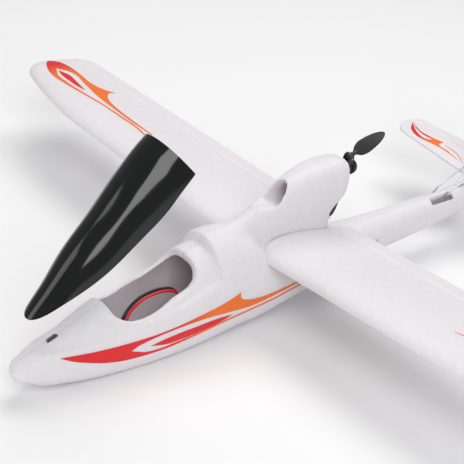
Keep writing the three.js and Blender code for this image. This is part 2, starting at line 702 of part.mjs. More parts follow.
// Blade from its pin outwards along +Z: distance, chord, twist in degrees, thickness.
const BLADE = [
  [3.2, 3.4, 0, 3.2],
  [6, 4.2, 12, 2.6],
  [9.5, 9.5, 27, 1.9],
  [14, 12.6, 25, 1.6],
  [20, 13, 21, 1.4],
  [27, 12, 17, 1.2],
  [34, 9.8, 14, 1.0],
  [37.5, 7, 12, 0.9],
  [39.5, 3.4, 11, 0.8],
];
function blade() {
  const rings = BLADE.map(([r, chord, twist, t]) => {
    const turn = THREE.MathUtils.degToRad(twist);
    return Array.from({ length: 12 }, (_, k) => {
      const a = (2 * Math.PI * k) / 12;
      const [u, v] = [0.5 * chord * Math.cos(a), 0.5 * t * Math.sin(a)];
      return [u * Math.cos(turn) - v * Math.sin(turn), u * Math.sin(turn) + v * Math.cos(turn), r];
    });
  });
  const knuckle = solidBar([-1.5, 0, 0], [1.5, 0, 0], 2.3).add(solidBlock(-1.5, 1.5, -1.6, 1.6, 0, 4.4));
  const bore = solidBar([-5, 0, 0], [5, 0, 0], PIN_BORE, PIN_BORE, 12);
  return knuckle.add(solid(loft(rings))).subtract(bore);
}
const bladeShape = geometryOf(blade());
[["upper", 1, BLADE_FOLD], ["lower", -1, 0]].forEach(([name, side, fold]) => {
  const holder = new THREE.Group();
  holder.position.set(0, 0, side * PIN_R);
  holder.rotation.x = side > 0 ? -fold : 0;
  propeller.add(holder);
  const shape = side > 0 ? bladeShape : bladeShape.clone().rotateY(Math.PI);
  add("blade_" + name, shape, SATIN_BLACK, holder);
  const pin = bar([-4.2, 0, side * PIN_R], [4.2, 0, side * PIN_R], 0.65, 0.65, 10);
  add("blade_pin_" + name, pin, STEEL, propeller);
});

// ---- canopy, lifted -------------------------------------------------------------------------
function canopyShell() {
  const hollow = bodyLoft([NOSE_Y + 2.5, ...SEAT_STATIONS.slice(3)], CANOPY_SKIN, 0);
  return bodyLoft(SEAT_STATIONS, 0, 0).subtract(hollow).intersect(canopyZone(0.4, 0.5));
}
// Catch under the front of the skin; it drops into the notch of the nose deck.
function tongueSolid() {
  const under = bodyLoft(SEAT_STATIONS.slice(2), CANOPY_SKIN + GAP, 0);
  return solidBlock(-2, 2, -122, -114, 39.4, 60).intersect(under);
}
const lifted = new THREE.Group();
lifted.position.set(0, CANOPY_POLE.y, CANOPY_POLE.z);
lifted.rotation.x = CANOPY_ANGLE;
glider.add(lifted);
const shell = add("canopy_shell", geometryOf(canopyShell()), GLOSS_BLACK, lifted);
shell.position.set(0, -CANOPY_POLE.y, -CANOPY_POLE.z);
const tongue = add("canopy_tongue", geometryOf(tongueSolid()), GLOSS_BLACK, lifted);
tongue.position.copy(shell.position);

export default glider;
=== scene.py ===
"""Foam electric glider: raised pusher motor pod, open battery bay, gloss canopy lifted clear.

The shape code works in millimetres and every mesh is written in metres. The nose points to -Y, the
pilot's left wing tip to +X and +Z is up. Height 0 is the flat strip under the belly.
"""
import logging
import math
from dataclasses import dataclass, field
from enum import Enum
from itertools import product
from typing import Callable, Sequence

import bpy
import numpy as np
from mathutils import Matrix, Vector


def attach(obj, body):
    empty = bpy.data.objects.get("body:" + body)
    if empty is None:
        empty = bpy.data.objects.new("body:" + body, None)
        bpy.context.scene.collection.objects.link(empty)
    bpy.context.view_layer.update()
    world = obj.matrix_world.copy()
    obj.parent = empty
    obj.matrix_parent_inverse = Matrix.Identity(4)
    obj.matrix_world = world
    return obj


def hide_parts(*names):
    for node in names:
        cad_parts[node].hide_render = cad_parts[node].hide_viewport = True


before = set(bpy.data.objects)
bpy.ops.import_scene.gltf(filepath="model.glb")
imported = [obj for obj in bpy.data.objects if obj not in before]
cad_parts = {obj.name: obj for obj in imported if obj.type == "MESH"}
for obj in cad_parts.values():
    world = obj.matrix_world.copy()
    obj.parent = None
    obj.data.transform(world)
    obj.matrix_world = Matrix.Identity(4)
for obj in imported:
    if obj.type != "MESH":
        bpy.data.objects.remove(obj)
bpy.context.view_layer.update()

Array = np.ndarray
MM = 0.001
SHARP_ANGLE = math.radians(50)
NEAR_ZERO = 1e-3
log = logging.getLogger("glider")


class Side(Enum):
    """A side of the model, as the pilot sees it; the value is the sign of its X."""

    LEFT = 1
    RIGHT = -1


class Tint(Enum):
    """Plain colours of the model, in linear light."""

    FOAM = (0.82, 0.79, 0.815)
    GLOSS_BLACK = (0.004, 0.0045, 0.005)
    SATIN_BLACK = (0.012, 0.012, 0.013)
    CARBON = (0.02, 0.02, 0.022)
    STEEL = (0.55, 0.55, 0.57)
    ALLOY = (0.62, 0.63, 0.65)
    RED_LEAD = (0.62, 0.012, 0.02)
    BLACK_LEAD = (0.01, 0.01, 0.012)
    SERVO_BLUE = (0.03, 0.09, 0.34)
    NYLON = (0.80, 0.80, 0.78)
    PLYWOOD = (0.60, 0.42, 0.22)
    GOLD_WRAP = (0.50, 0.34, 0.03)
    BLUE_WRAP = (0.03, 0.15, 0.45)
    PLUG_RED = (0.45, 0.03, 0.02)
    DECAL_RED = (0.78, 0.006, 0.014)
    DECAL_ORANGE = (0.93, 0.18, 0.012)
    FLOOR = (0.93, 0.93, 0.935)
    HANDLED_FOAM = (0.70, 0.64, 0.64)
    SHADED_INK = (0.25, 0.02, 0.02)

    @property
    def opaque(self) -> tuple[float, ...]:
        """The colour with a full alpha."""
        return self.value + (1.0,)


# ---- surfaces --------------------------------------------------------------------------------
def through(table: Array, key: Array) -> Array:
    """Smooth curve through rows of [key, value, ...].

    Each stretch is a cubic. Its slope at a row is the mean of the slopes of the stretches before and
    after, each weighted by the other one's length.

    Args:
        table: Rows in rising order of key.
        key: Where to read the curve; beyond the ends it keeps the end values.

    Returns:
        The values, one more axis than key.
    """
    keys, values = table[:, 0], table[:, 1:]
    step = np.diff(keys)
    slope = np.diff(values, axis=0) / step[:, None]
    inner = (slope[1:] * step[:-1, None] + slope[:-1] * step[1:, None]) / (step[:-1] + step[1:])[:, None]
    tangent = np.vstack([slope[:1], inner, slope[-1:]])
    key = np.clip(np.asarray(key, float), keys[0], keys[-1])
    i = np.clip(np.searchsorted(keys, key) - 1, 0, len(keys) - 2)
    h = step[i][..., None]
    t = (key - keys[i])[..., None] / h
    return ((2 * t**3 - 3 * t**2 + 1) * values[i] + (t**3 - 2 * t**2 + t) * h * tangent[i]
            + (3 * t**2 - 2 * t**3) * values[i + 1] + (t**3 - t**2) * h * tangent[i + 1])


def power(v: Array, p: float | Array) -> Array:
    """The value raised to a power with its sign kept."""
    return np.sign(v) * np.abs(v) ** p


def soft_min(a: Array, b: Array, k: float) -> Array:
    """The lesser of two fields, rounded over a width k where they meet."""
    return np.minimum(a, b) - np.maximum(k - np.abs(a - b), 0) ** 2 / (4 * k)


def soft_max(a: Array, b: Array, k: float) -> Array:
    """The greater of two fields, rounded over a width k where they meet."""
    return -soft_min(-a, -b, k)


def smooth(t: Array) -> Array:
    """Eased step from 0 to 1: t squared times 3 minus 2t, with t held in that range."""
    t = np.clip(t, 0, 1)
    return t * t * (3 - 2 * t)


def grid_quads(rows: int, cols: int, wrap: bool) -> Array:
    """Quads between neighbours of a grid stored row by row; wrap joins the last column to the first."""
    r = np.arange(rows - 1)[:, None] * cols
    c = np.arange(cols if wrap else cols - 1)
    n = (c + 1) % cols
    return np.stack([r + c, r + n, r + cols + n, r + cols + c], -1).reshape(-1, 4)


def turned_out(points: Array, faces: list[Array]) -> list[Array]:
    """The faces of a closed surface, all flipped if the volume they enclose comes out negative."""
    volume = 0.0
    for f in faces:
        a = points[f[:, 0]]
        for k in range(1, f.shape[1] - 1):
            volume += np.einsum("ij,ij->", a, np.cross(points[f[:, k]], points[f[:, k + 1]]))
    return faces if volume > 0 else [f[:, ::-1] for f in faces]


def closed_loft(rings: Array) -> tuple[Array, list[Array]]:
    """Closed surface through rings of equal length, each end fanned from its ring's middle.

    Args:
        rings: Array of ring, point and coordinate.

    Returns:
        Points and face arrays, facing out.
    """
    rows, cols, _ = rings.shape
    points = np.vstack([rings.reshape(-1, 3), rings[0].mean(0), rings[-1].mean(0)])
    k = np.arange(cols)
    n = (k + 1) % cols
    top = (rows - 1) * cols
    first = np.stack([np.full(cols, rows * cols), n, k], -1)
    last = np.stack([np.full(cols, rows * cols + 1), top + k, top + n], -1)
    return points, turned_out(points, [grid_quads(rows, cols, True), first, last])


def slab(top: Array, bottom: Array) -> tuple[Array, list[Array]]:
    """Closed thin body between two grids of the same shape, with a rim round the four sides.

    Args:
        top: Grid of points of the upper face.
        bottom: Grid of points of the lower face.

    Returns:
        Points and face arrays, facing out.
    """
    rows, cols, _ = top.shape
    points = np.vstack([top.reshape(-1, 3), bottom.reshape(-1, 3)])
    index = np.arange(rows * cols).reshape(rows, cols)
    loop = np.concatenate([index[0, :-1], index[:-1, -1], index[-1, :0:-1], index[:0:-1, 0]])
    ahead = np.roll(loop, -1)
    lower = rows * cols
    faces = [grid_quads(rows, cols, False), grid_quads(rows, cols, False)[:, ::-1] + lower,
             np.stack([loop + lower, ahead + lower, ahead, loop], -1)]
    return points, turned_out(points, faces)


def grid_normals(points: Array) -> Array:
    """Unit normals of a grid of points, from the cross product of its two direction differences."""
    normal = np.cross(np.gradient(points, axis=0), np.gradient(points, axis=1))
    return normal / np.maximum(np.linalg.norm(normal, axis=-1, keepdims=True), 1e-9)


def tube(path: Array, radius: float, sides: int = 16) -> tuple[Array, list[Array]]:
    """Round tube with flat ends.

    Each ring's first direction is the last ring's, less its part along the path, so that nothing twists.

    Args:
        path: Points of the middle line.
        radius: Radius of the tube.
        sides: Points in a ring.

    Returns:
        Points and face arrays, facing out.
    """
    tangent = np.gradient(path, axis=0)
    tangent /= np.linalg.norm(tangent, axis=1, keepdims=True)
    across = np.empty_like(path)
    start = np.cross(tangent[0], [0.0, 0.0, 1.0] if abs(tangent[0, 2]) < 0.9 else [0.0, 1.0, 0.0])
    across[0] = start / np.linalg.norm(start)
    for i in range(1, len(path)):
        side = across[i - 1] - tangent[i] * (across[i - 1] @ tangent[i])
        across[i] = side / np.linalg.norm(side)
    other = np.cross(tangent, across)
    angle = np.linspace(0, 2 * np.pi, sides, endpoint=False)[None, :, None]
    rings = path[:, None] + radius * (np.cos(angle) * across[:, None] + np.sin(angle) * other[:, None])
    return closed_loft(rings)


def turned_about_x(points: Array, angle: float, pole_y: float, pole_z: float) -> Array:
    """Points turned by an angle about a line along X."""
    c, s = math.cos(angle), math.sin(angle)
    y, z = points[..., 1] - pole_y, points[..., 2] - pole_z
    return np.stack([points[..., 0], pole_y + c * y - s * z, pole_z + s * y + c * z], -1)


# ---- fields and their skins ------------------------------------------------------------------
@dataclass
class Lattice:
    """Block of sample points on which a moulded shape's field is worked out; negative is inside."""

    xs: Array
    ys: Array
    zs: Array

    @property
    def mesh(self) -> tuple[Array, Array, Array]:
        """The three coordinates, shaped to broadcast over the block."""
        return self.xs[:, None, None], self.ys[None, :, None], self.zs[None, None, :]

    def even(self, values: Array) -> Array:
        """The field over the length of its own slope, so that it reads as a distance near the skin."""
        slopes = np.gradient(values, self.xs, self.ys, self.zs)
        length = np.sqrt(sum(s * s for s in slopes))
        return values / np.clip(length, 0.25, None)

    def block(self, x: Sequence[float], y: Sequence[float], z: Sequence[float]) -> Array:
        """Field of a straight block given by its limits."""
        X, Y, Z = self.mesh
        sides = [np.abs(a - sum(lim) / 2) - (lim[1] - lim[0]) / 2 for a, lim in ((X, x), (Y, y), (Z, z))]
        return np.maximum(np.maximum(sides[0], sides[1]), sides[2])

    def rod(self, axis: int, at: Sequence[float], radius: float, ends: Sequence[float]) -> Array:
        """Field of a round rod along X, Y or Z (0, 1 or 2) through a point."""
        spans = self.mesh
        others = [n for n in range(3) if n != axis]
        round_part = np.sqrt(sum((spans[n] - at[n]) ** 2 for n in others)) - radius
        end_part = np.abs(spans[axis] - sum(ends) / 2) - (ends[1] - ends[0]) / 2
        return np.maximum(round_part, end_part)

    def prism(self, outline: Sequence[tuple[float, float]]) -> Array:
        """Field of a Y-Z outline carried along X: the distance to its nearest side, negative within it."""
        Y, Z = self.ys[:, None], self.zs[None, :]
        nearest = np.full((len(self.ys), len(self.zs)), np.inf)
        within = np.zeros(nearest.shape, bool)
        for (y0, z0), (y1, z1) in zip(outline, list(outline[1:]) + [outline[0]]):
            dy, dz = y1 - y0, z1 - z0
            t = np.clip(((Y - y0) * dy + (Z - z0) * dz) / (dy * dy + dz * dz), 0, 1)
            nearest = np.minimum(nearest, np.hypot(Y - y0 - t * dy, Z - z0 - t * dz))
            if dz:
                within ^= ((Z < z0) != (Z < z1)) & (Y < y0 + (Z - z0) * dy / dz)
        return np.where(within, -nearest, nearest)[None]

    def skin(self, values: Array) -> tuple[Array, Array]:
        """Surface where the field is zero.

        Each lattice cell that the surface crosses gets one point, at the mean of the crossings on the
        cell's edges. Each lattice edge that the surface crosses gets one quad, through the points of the
        four cells round it.

        Args:
            values: The field at every lattice point.

        Returns:
            Points and quads, facing out.
        """
        inside = values < 0
        size = np.array(values.shape)
        count = sum(inside[tuple(slice(o, n - 1 + o) for o, n in zip(off, size))].astype(np.int8)
                    for off in product((0, 1), repeat=3))
        active = (count > 0) & (count < 8)
        number = np.full(active.shape, -1)
        number[active] = np.arange(active.sum())
        cell = np.argwhere(active)
        total, hits = np.zeros(cell.shape), np.zeros(len(cell))
        for axis, p, q in product(range(3), (0, 1), (0, 1)):
            start = cell.copy()
            start[:, (axis + 1) % 3] += p
            start[:, (axis + 2) % 3] += q
            end = start.copy()
            end[:, axis] += 1
            a, b = values[tuple(start.T)], values[tuple(end.T)]
            cross = (a < 0) != (b < 0)
            share = np.where(cross, a / np.where(cross, a - b, 1), 0)
            place = start.astype(float)
            place[:, axis] += share
            total[cross] += place[cross]
            hits += cross
        local = total / hits[:, None]
        axes = (self.xs, self.ys, self.zs)
        points = np.stack([np.interp(local[:, n], np.arange(len(axes[n])), axes[n]) for n in range(3)], -1)
        quads = []
        for axis in range(3):
            order = (axis, (axis + 1) % 3, (axis + 2) % 3)
            s, c = np.transpose(inside, order), np.transpose(number, order)
            i, j, k = np.nonzero(s[:-1, 1:-1, 1:-1] != s[1:, 1:-1, 1:-1])
            quad = np.stack([c[i, j, k], c[i, j + 1, k], c[i, j + 1, k + 1], c[i, j, k + 1]], -1)
            leaving = s[i, j + 1, k + 1]
            quads.append(np.where(leaving[:, None], quad, quad[:, ::-1]))
        return points, np.vstack(quads)


# ---- Blender side ----------------------------------------------------------------------------
def make_piece(name: str, shape: tuple[Array, list[Array] | Array], material: bpy.types.Material, body: str,
               replaces: Sequence[str] = ()) -> bpy.types.Object:
    """Puts a worked-out surface into Blender as a piece of the model.

    Args:
        name: The piece's name.
        shape: Points in millimetres and one or more face arrays.
        material: Its finish.
        body: The body it rides on.
        replaces: The plain nodes that it stands for.

    Returns:
        The new object, at the origin.
    """
    points, faces = shape
    faces = [faces] if isinstance(faces, np.ndarray) else faces
    mesh = bpy.data.meshes.new(name)
    corners = np.concatenate([f.reshape(-1) for f in faces]).astype(np.int32)
    sizes = np.concatenate([np.full(len(f), f.shape[1]) for f in faces]).astype(np.int32)
    starts = np.concatenate([[0], np.cumsum(sizes)[:-1]]).astype(np.int32)
    mesh.vertices.add(len(points))
    mesh.vertices.foreach_set("co", (points * MM).astype(np.float32).reshape(-1))
    mesh.loops.add(len(corners))
    mesh.loops.foreach_set("vertex_index", corners)
    mesh.polygons.add(len(sizes))
    mesh.polygons.foreach_set("loop_start", starts)
    mesh.polygons.foreach_set("loop_total", sizes)
    mesh.polygons.foreach_set("use_smooth", np.ones(len(sizes), bool))
    mesh.update(calc_edges=True)
    mesh.validate()
    mesh.set_sharp_from_angle(angle=SHARP_ANGLE)
    mesh.materials.append(material)
    piece = bpy.data.objects.new(name, mesh)
    bpy.context.scene.collection.objects.link(piece)
    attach(piece, body)
    if replaces:
        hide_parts(*replaces)
    log.info("%s: %d points, %d faces", name, len(points), len(sizes))
    return piece


def joined(shapes: Sequence[tuple[Array, list[Array]]]) -> tuple[Array, list[Array]]:
    """Several surfaces as the parts of one piece."""
    points, faces, start = [], [], 0
    for p, f in shapes:
        points.append(p)
        faces += [a + start for a in ([f] if isinstance(f, np.ndarray) else f)]
        start += len(p)
    return np.vstack(points), faces


def mirrored(shape: tuple[Array, list[Array]]) -> tuple[Array, list[Array]]:
    """The same surface on the other side of the centre plane, its faces turned back out."""
    points, faces = shape
    faces = [faces] if isinstance(faces, np.ndarray) else faces
    return points * np.array([-1.0, 1.0, 1.0]), [f[:, ::-1] for f in faces]


def on_side(shape: tuple[Array, list[Array]], side: Side) -> tuple[Array, list[Array]]:
    """A left-hand surface as it is on that side."""
    return mirrored(shape) if side is Side.RIGHT else shape


class NodeKit:
    """Short ways to build a material's nodes."""

    def __init__(self, tree: bpy.types.NodeTree) -> None:
        """Works on one node tree."""
        self.tree = tree

    def node(self, kind: str, inputs: dict[str, object] | None = None,
             **settings: object) -> bpy.types.Node:
        """Adds a node; an input is given a plain value or the socket that feeds it."""
        made = self.tree.nodes.new(kind)
        for key, value in settings.items():
            setattr(made, key, value)
        for key, value in (inputs or {}).items():
            socket = made.inputs[int(key) if key.isdigit() else key]
            if isinstance(value, bpy.types.NodeSocket):
                self.tree.links.new(value, socket)
            else:
                socket.default_value = value
        return made

    def math(self, operation: str, a: object, b: object = 0.0) -> bpy.types.NodeSocket:
        """A Math node's value."""
        return self.node("ShaderNodeMath", {"0": a, "1": b}, operation=operation).outputs[0]

    def between(self, value: object, low: float, high: float) -> bpy.types.NodeSocket:
        """The value carried from low..high to 0..1 and held there."""
        limits = {"Value": value, "From Min": low, "From Max": high}
        return self.node("ShaderNodeMapRange", limits).outputs[0]

    def noise(self, where: bpy.types.NodeSocket, scale: float, detail: float) -> bpy.types.Node:
        """Cloudy noise whose lumps are one metre over the scale across."""
        return self.node("ShaderNodeTexNoise", {"Vector": where, "Scale": scale, "Detail": detail})

    def feed(self, value: bpy.types.NodeSocket, socket: bpy.types.NodeSocket) -> None:
        """Joins a value to the input that takes it."""
        self.tree.links.new(value, socket)

    def mix(self, share: object, a: object, b: object) -> bpy.types.NodeSocket:
        """A colour between two."""
        made = self.tree.nodes.new("ShaderNodeMix")
        made.data_type = "RGBA"
        for index, value in ((0, share), (6, a), (7, b)):
            if isinstance(value, bpy.types.NodeSocket):
                self.tree.links.new(value, made.inputs[index])
            else:
                made.inputs[index].default_value = value
        return made.outputs[2]


def new_group(name: str, inputs: dict[str, float],
              outputs: Sequence[str]) -> tuple[bpy.types.NodeTree, NodeKit]:
    """Starts a shader node group that takes a coordinate and numbers and gives numbers."""
    tree = bpy.data.node_groups.new(name, "ShaderNodeTree")
    tree.interface.new_socket("Coordinate", in_out="INPUT", socket_type="NodeSocketVector")
    for key, value in inputs.items():
        made = tree.interface.new_socket(key, in_out="INPUT", socket_type="NodeSocketFloat")
        made.default_value = value
    for key in outputs:
        tree.interface.new_socket(key, in_out="OUTPUT", socket_type="NodeSocketFloat")
    return tree, NodeKit(tree)


def bead_group() -> bpy.types.NodeTree:
    """Moulded bead foam: packed cells with a shallow valley between them, each with a tone of its own.

    Returns:
        A group that gives a Height and a Tone, both from 0 to 1, for a number of Cells to the metre.
    """
    tree, kit = new_group("bead_foam", {"Cells": 300.0}, ("Height", "Tone"))
    into, out = tree.nodes.new("NodeGroupInput"), tree.nodes.new("NodeGroupOutput")
    where, cells = into.outputs["Coordinate"], into.outputs["Cells"]
    wobble = kit.noise(where, 90.0, 2.0).outputs["Color"]
    offset = kit.node("ShaderNodeVectorMath", {"0": wobble, "1": (0.0016, 0.0016, 0.0016)},
                      operation="MULTIPLY").outputs[0]
    placed = kit.node("ShaderNodeVectorMath", {"0": where, "1": offset}).outputs[0]
    edge = kit.node("ShaderNodeTexVoronoi", {"Vector": placed, "Scale": cells}, feature="DISTANCE_TO_EDGE")
    cell = kit.node("ShaderNodeTexVoronoi", {"Vector": placed, "Scale": cells})
    grain = kit.noise(where, 2400.0, 2.0).outputs["Fac"]
    valley = kit.between(edge.outputs["Distance"], 0.0, 0.10)
    kit.feed(kit.math("ADD", valley, kit.math("MULTIPLY", grain, 0.22)), out.inputs["Height"])
    tone = kit.node("ShaderNodeSeparateColor", {"Color": cell.outputs["Color"]}).outputs[0]
    kit.feed(tone, out.inputs["Tone"])
    return tree


def wear_group() -> bpy.types.NodeTree:
    """Handling marks: broad smudges and fine scratches lengthwise, as one mask.

    Returns:
        A group that gives a Mask, with a strength of its own for the Scratches.
    """
    tree, kit = new_group("handling", {"Scratches": 0.4}, ("Mask",))
    into, out = tree.nodes.new("NodeGroupInput"), tree.nodes.new("NodeGroupOutput")
    where = into.outputs["Coordinate"]
    smudge = kit.noise(where, 28.0, 4.0).outputs["Fac"]
    drawn = kit.node("ShaderNodeMapping", {"Vector": where, "Scale": (900.0, 40.0, 900.0)}).outputs[0]
    fine = kit.noise(drawn, 1.0, 3.0).outputs["Fac"]
    scratch = kit.math("MULTIPLY", kit.between(fine, 0.62, 0.75), into.outputs["Scratches"])
    kit.feed(kit.math("ADD", kit.between(smudge, 0.45, 0.75), scratch), out.inputs["Mask"])
    return tree


GROUPS = {"bead_foam": bead_group(), "handling": wear_group()}


@dataclass(frozen=True)
class Finish:
    """A moulded or drawn finish: its colour, gloss, grain and handling marks.

    The bump height is in millimetres; dark and light are how far the colour strays from its mean.
    """

    name: str
    tint: Tint
    roughness: float = 0.45
    metallic: float = 0.0
    coat: float = 0.0
    grain_scale: float = 900.0
    grain_height: float = 0.02
    stray: float = 0.06
    wear: float = 0.08
    stretch: tuple[float, float, float] = (1.0, 1.0, 1.0)

    def start(self) -> tuple[bpy.types.Material, NodeKit, bpy.types.Node, bpy.types.NodeSocket]:
        """The material, its node kit, its shader and its Object coordinate."""
        made = bpy.data.materials.new(self.name)
        made.use_nodes = True
        kit = NodeKit(made.node_tree)
        shader = made.node_tree.nodes["Principled BSDF"]
        shader.inputs["Roughness"].default_value = self.roughness
        shader.inputs["Metallic"].default_value = self.metallic
        shader.inputs["Coat Weight"].default_value = self.coat
        where = kit.node("ShaderNodeTexCoord").outputs["Object"]
        return made, kit, shader, where

    def group(self, kit: NodeKit, key: str, where: bpy.types.NodeSocket,
              **values: float) -> bpy.types.Node:
        """A shared node group placed in this material with its own values."""
        made = kit.node("ShaderNodeGroup", node_tree=GROUPS[key])
        kit.feed(where, made.inputs["Coordinate"])
        for name, value in values.items():
            made.inputs[name].default_value = value
        return made

    def bump(self, kit: NodeKit, shader: bpy.types.Node, height: bpy.types.NodeSocket,
             millimetres: float) -> None:
        """Feeds a height from 0 to 1 into the shader's normal as a relief of that depth."""
        depth = {"Height": height, "Strength": 1.0, "Distance": millimetres * MM}
        kit.feed(kit.node("ShaderNodeBump", depth).outputs[0], shader.inputs["Normal"])

    def shade(self, share: float) -> tuple[float, ...]:
        """The tint made lighter by a share, or darker where the share is negative."""
        return tuple(min(1.0, c * (1 + share)) for c in self.tint.value) + (1.0,)

    def build(self) -> bpy.types.Material:
        """Plain finish: fine grain in colour, gloss and relief, dulled where it is handled."""
        made, kit, shader, where = self.start()
        placed = kit.node("ShaderNodeMapping", {"Vector": where, "Scale": self.stretch}).outputs[0]
        grain = kit.noise(placed, self.grain_scale, 4.0).outputs["Fac"]
        rub = self.group(kit, "handling", where).outputs["Mask"]
        toned = kit.mix(grain, self.shade(-self.stray), self.shade(self.stray))
        kit.feed(toned, shader.inputs["Base Color"])
        dull = kit.math("ADD", kit.math("MULTIPLY", rub, self.wear), self.roughness)
        kit.feed(dull, shader.inputs["Roughness"])
        self.bump(kit, shader, grain, self.grain_height)
        return made


@dataclass(frozen=True)
class FoamFinish(Finish):
    """White bead foam: faintly pink where light passes through it, with the beads just to be seen."""

    bead_height: float = 0.05
    worn_share: float = 0.05
    glow: float = 0.4
    glow_depth: float = 6.0
    glow_spread: tuple[float, float, float] = (1.0, 0.55, 0.5)

    def build(self) -> bpy.types.Material:
        """Bead cells in relief and tone, with a little light carried under the skin."""
        made, kit, shader, where = self.start()
        beads = self.group(kit, "bead_foam", where)
        rub = self.group(kit, "handling", where, Scratches=0.0).outputs["Mask"]
        toned = kit.mix(beads.outputs["Tone"], self.shade(-self.stray), self.tint.opaque)
        worn = kit.mix(kit.math("MULTIPLY", rub, self.worn_share), toned, Tint.HANDLED_FOAM.opaque)
        kit.feed(worn, shader.inputs["Base Color"])
        dull = kit.math("ADD", kit.math("MULTIPLY", rub, self.wear), self.roughness)
        kit.feed(dull, shader.inputs["Roughness"])
        shader.inputs["Subsurface Weight"].default_value = self.glow
        shader.inputs["Subsurface Radius"].default_value = self.glow_spread
        shader.inputs["Subsurface Scale"].default_value = self.glow_depth * MM
        self.bump(kit, shader, beads.outputs["Height"], self.bead_height)
        return made


@dataclass(frozen=True)
class FadingFilm(Finish):
    """Printed film that turns from red at its front to orange further back, along one direction."""

    along: int = 1
    start_mm: float = -30.0
    end_mm: float = 8.0
    both_sides: bool = False

    def build(self) -> bpy.types.Material:
        """Two inks and a fade, with a faint print grain."""
        made, kit, shader, where = self.start()
        split = kit.node("ShaderNodeSeparateXYZ", {"Vector": where}).outputs[self.along]
        if self.both_sides:
            split = kit.math("ABSOLUTE", split)
        fade = kit.between(split, self.start_mm * MM, self.end_mm * MM)
        ink = kit.mix(fade, Tint.DECAL_RED.opaque, Tint.DECAL_ORANGE.opaque)
        grain = kit.noise(where, self.grain_scale, 2.0).outputs["Fac"]
        shade = kit.math("MULTIPLY", grain, self.stray)
        kit.feed(kit.mix(shade, ink, Tint.SHADED_INK.opaque), shader.inputs["Base Color"])
        self.bump(kit, shader, grain, self.grain_height)
        return made


FINISHES: dict[str, Finish] = {f.name: f for f in (
    FoamFinish("foam_white", Tint.FOAM, roughness=0.55, stray=0.035),
    Finish("canopy_gloss_black", Tint.GLOSS_BLACK, roughness=0.09, grain_height=0.0005, stray=0.1,
           wear=0.04),
    Finish("propeller_black_nylon", Tint.SATIN_BLACK, roughness=0.38, grain_scale=1600.0,
           grain_height=0.015),
    Finish("satin_black_plastic", Tint.SATIN_BLACK, roughness=0.5),
    Finish("carbon_rod", Tint.CARBON, roughness=0.35, stretch=(0.05, 1.0, 1.0)),
    Finish("steel_wire", Tint.STEEL, roughness=0.28, metallic=1.0, grain_height=0.004,
           stretch=(1.0, 0.05, 1.0)),
    Finish("motor_alloy", Tint.ALLOY, roughness=0.32, metallic=1.0, grain_height=0.006,
           stretch=(1.0, 6.0, 1.0)),
    Finish("servo_blue_plastic", Tint.SERVO_BLUE, roughness=0.25, coat=0.3),
    Finish("white_nylon", Tint.NYLON, roughness=0.45),
    Finish("tray_plywood", Tint.PLYWOOD, roughness=0.7, grain_scale=260.0, stray=0.25,
           stretch=(1.0, 0.12, 1.0)),
    Finish("controller_wrap", Tint.GOLD_WRAP, roughness=0.3, grain_scale=220.0, grain_height=0.15),
    Finish("battery_wrap", Tint.BLUE_WRAP, roughness=0.25, grain_scale=180.0, grain_height=0.2),
    Finish("lead_red_silicone", Tint.RED_LEAD, roughness=0.42, grain_height=0.006),
    Finish("lead_black_silicone", Tint.BLACK_LEAD, roughness=0.42, grain_height=0.006),
    Finish("plug_red_nylon", Tint.PLUG_RED, roughness=0.4),
    FadingFilm("side_film", Tint.DECAL_RED, roughness=0.5, grain_height=0.004),
    FadingFilm("wing_film", Tint.DECAL_RED, roughness=0.5, grain_height=0.004, along=0,
               start_mm=352, end_mm=328, both_sides=True),
    FadingFilm("tail_film", Tint.DECAL_RED, roughness=0.5, grain_height=0.004, along=0,
               start_mm=86, end_mm=72, both_sides=True),
    Finish("red_film", Tint.DECAL_RED, roughness=0.5, grain_height=0.004, stray=0.04),
)}


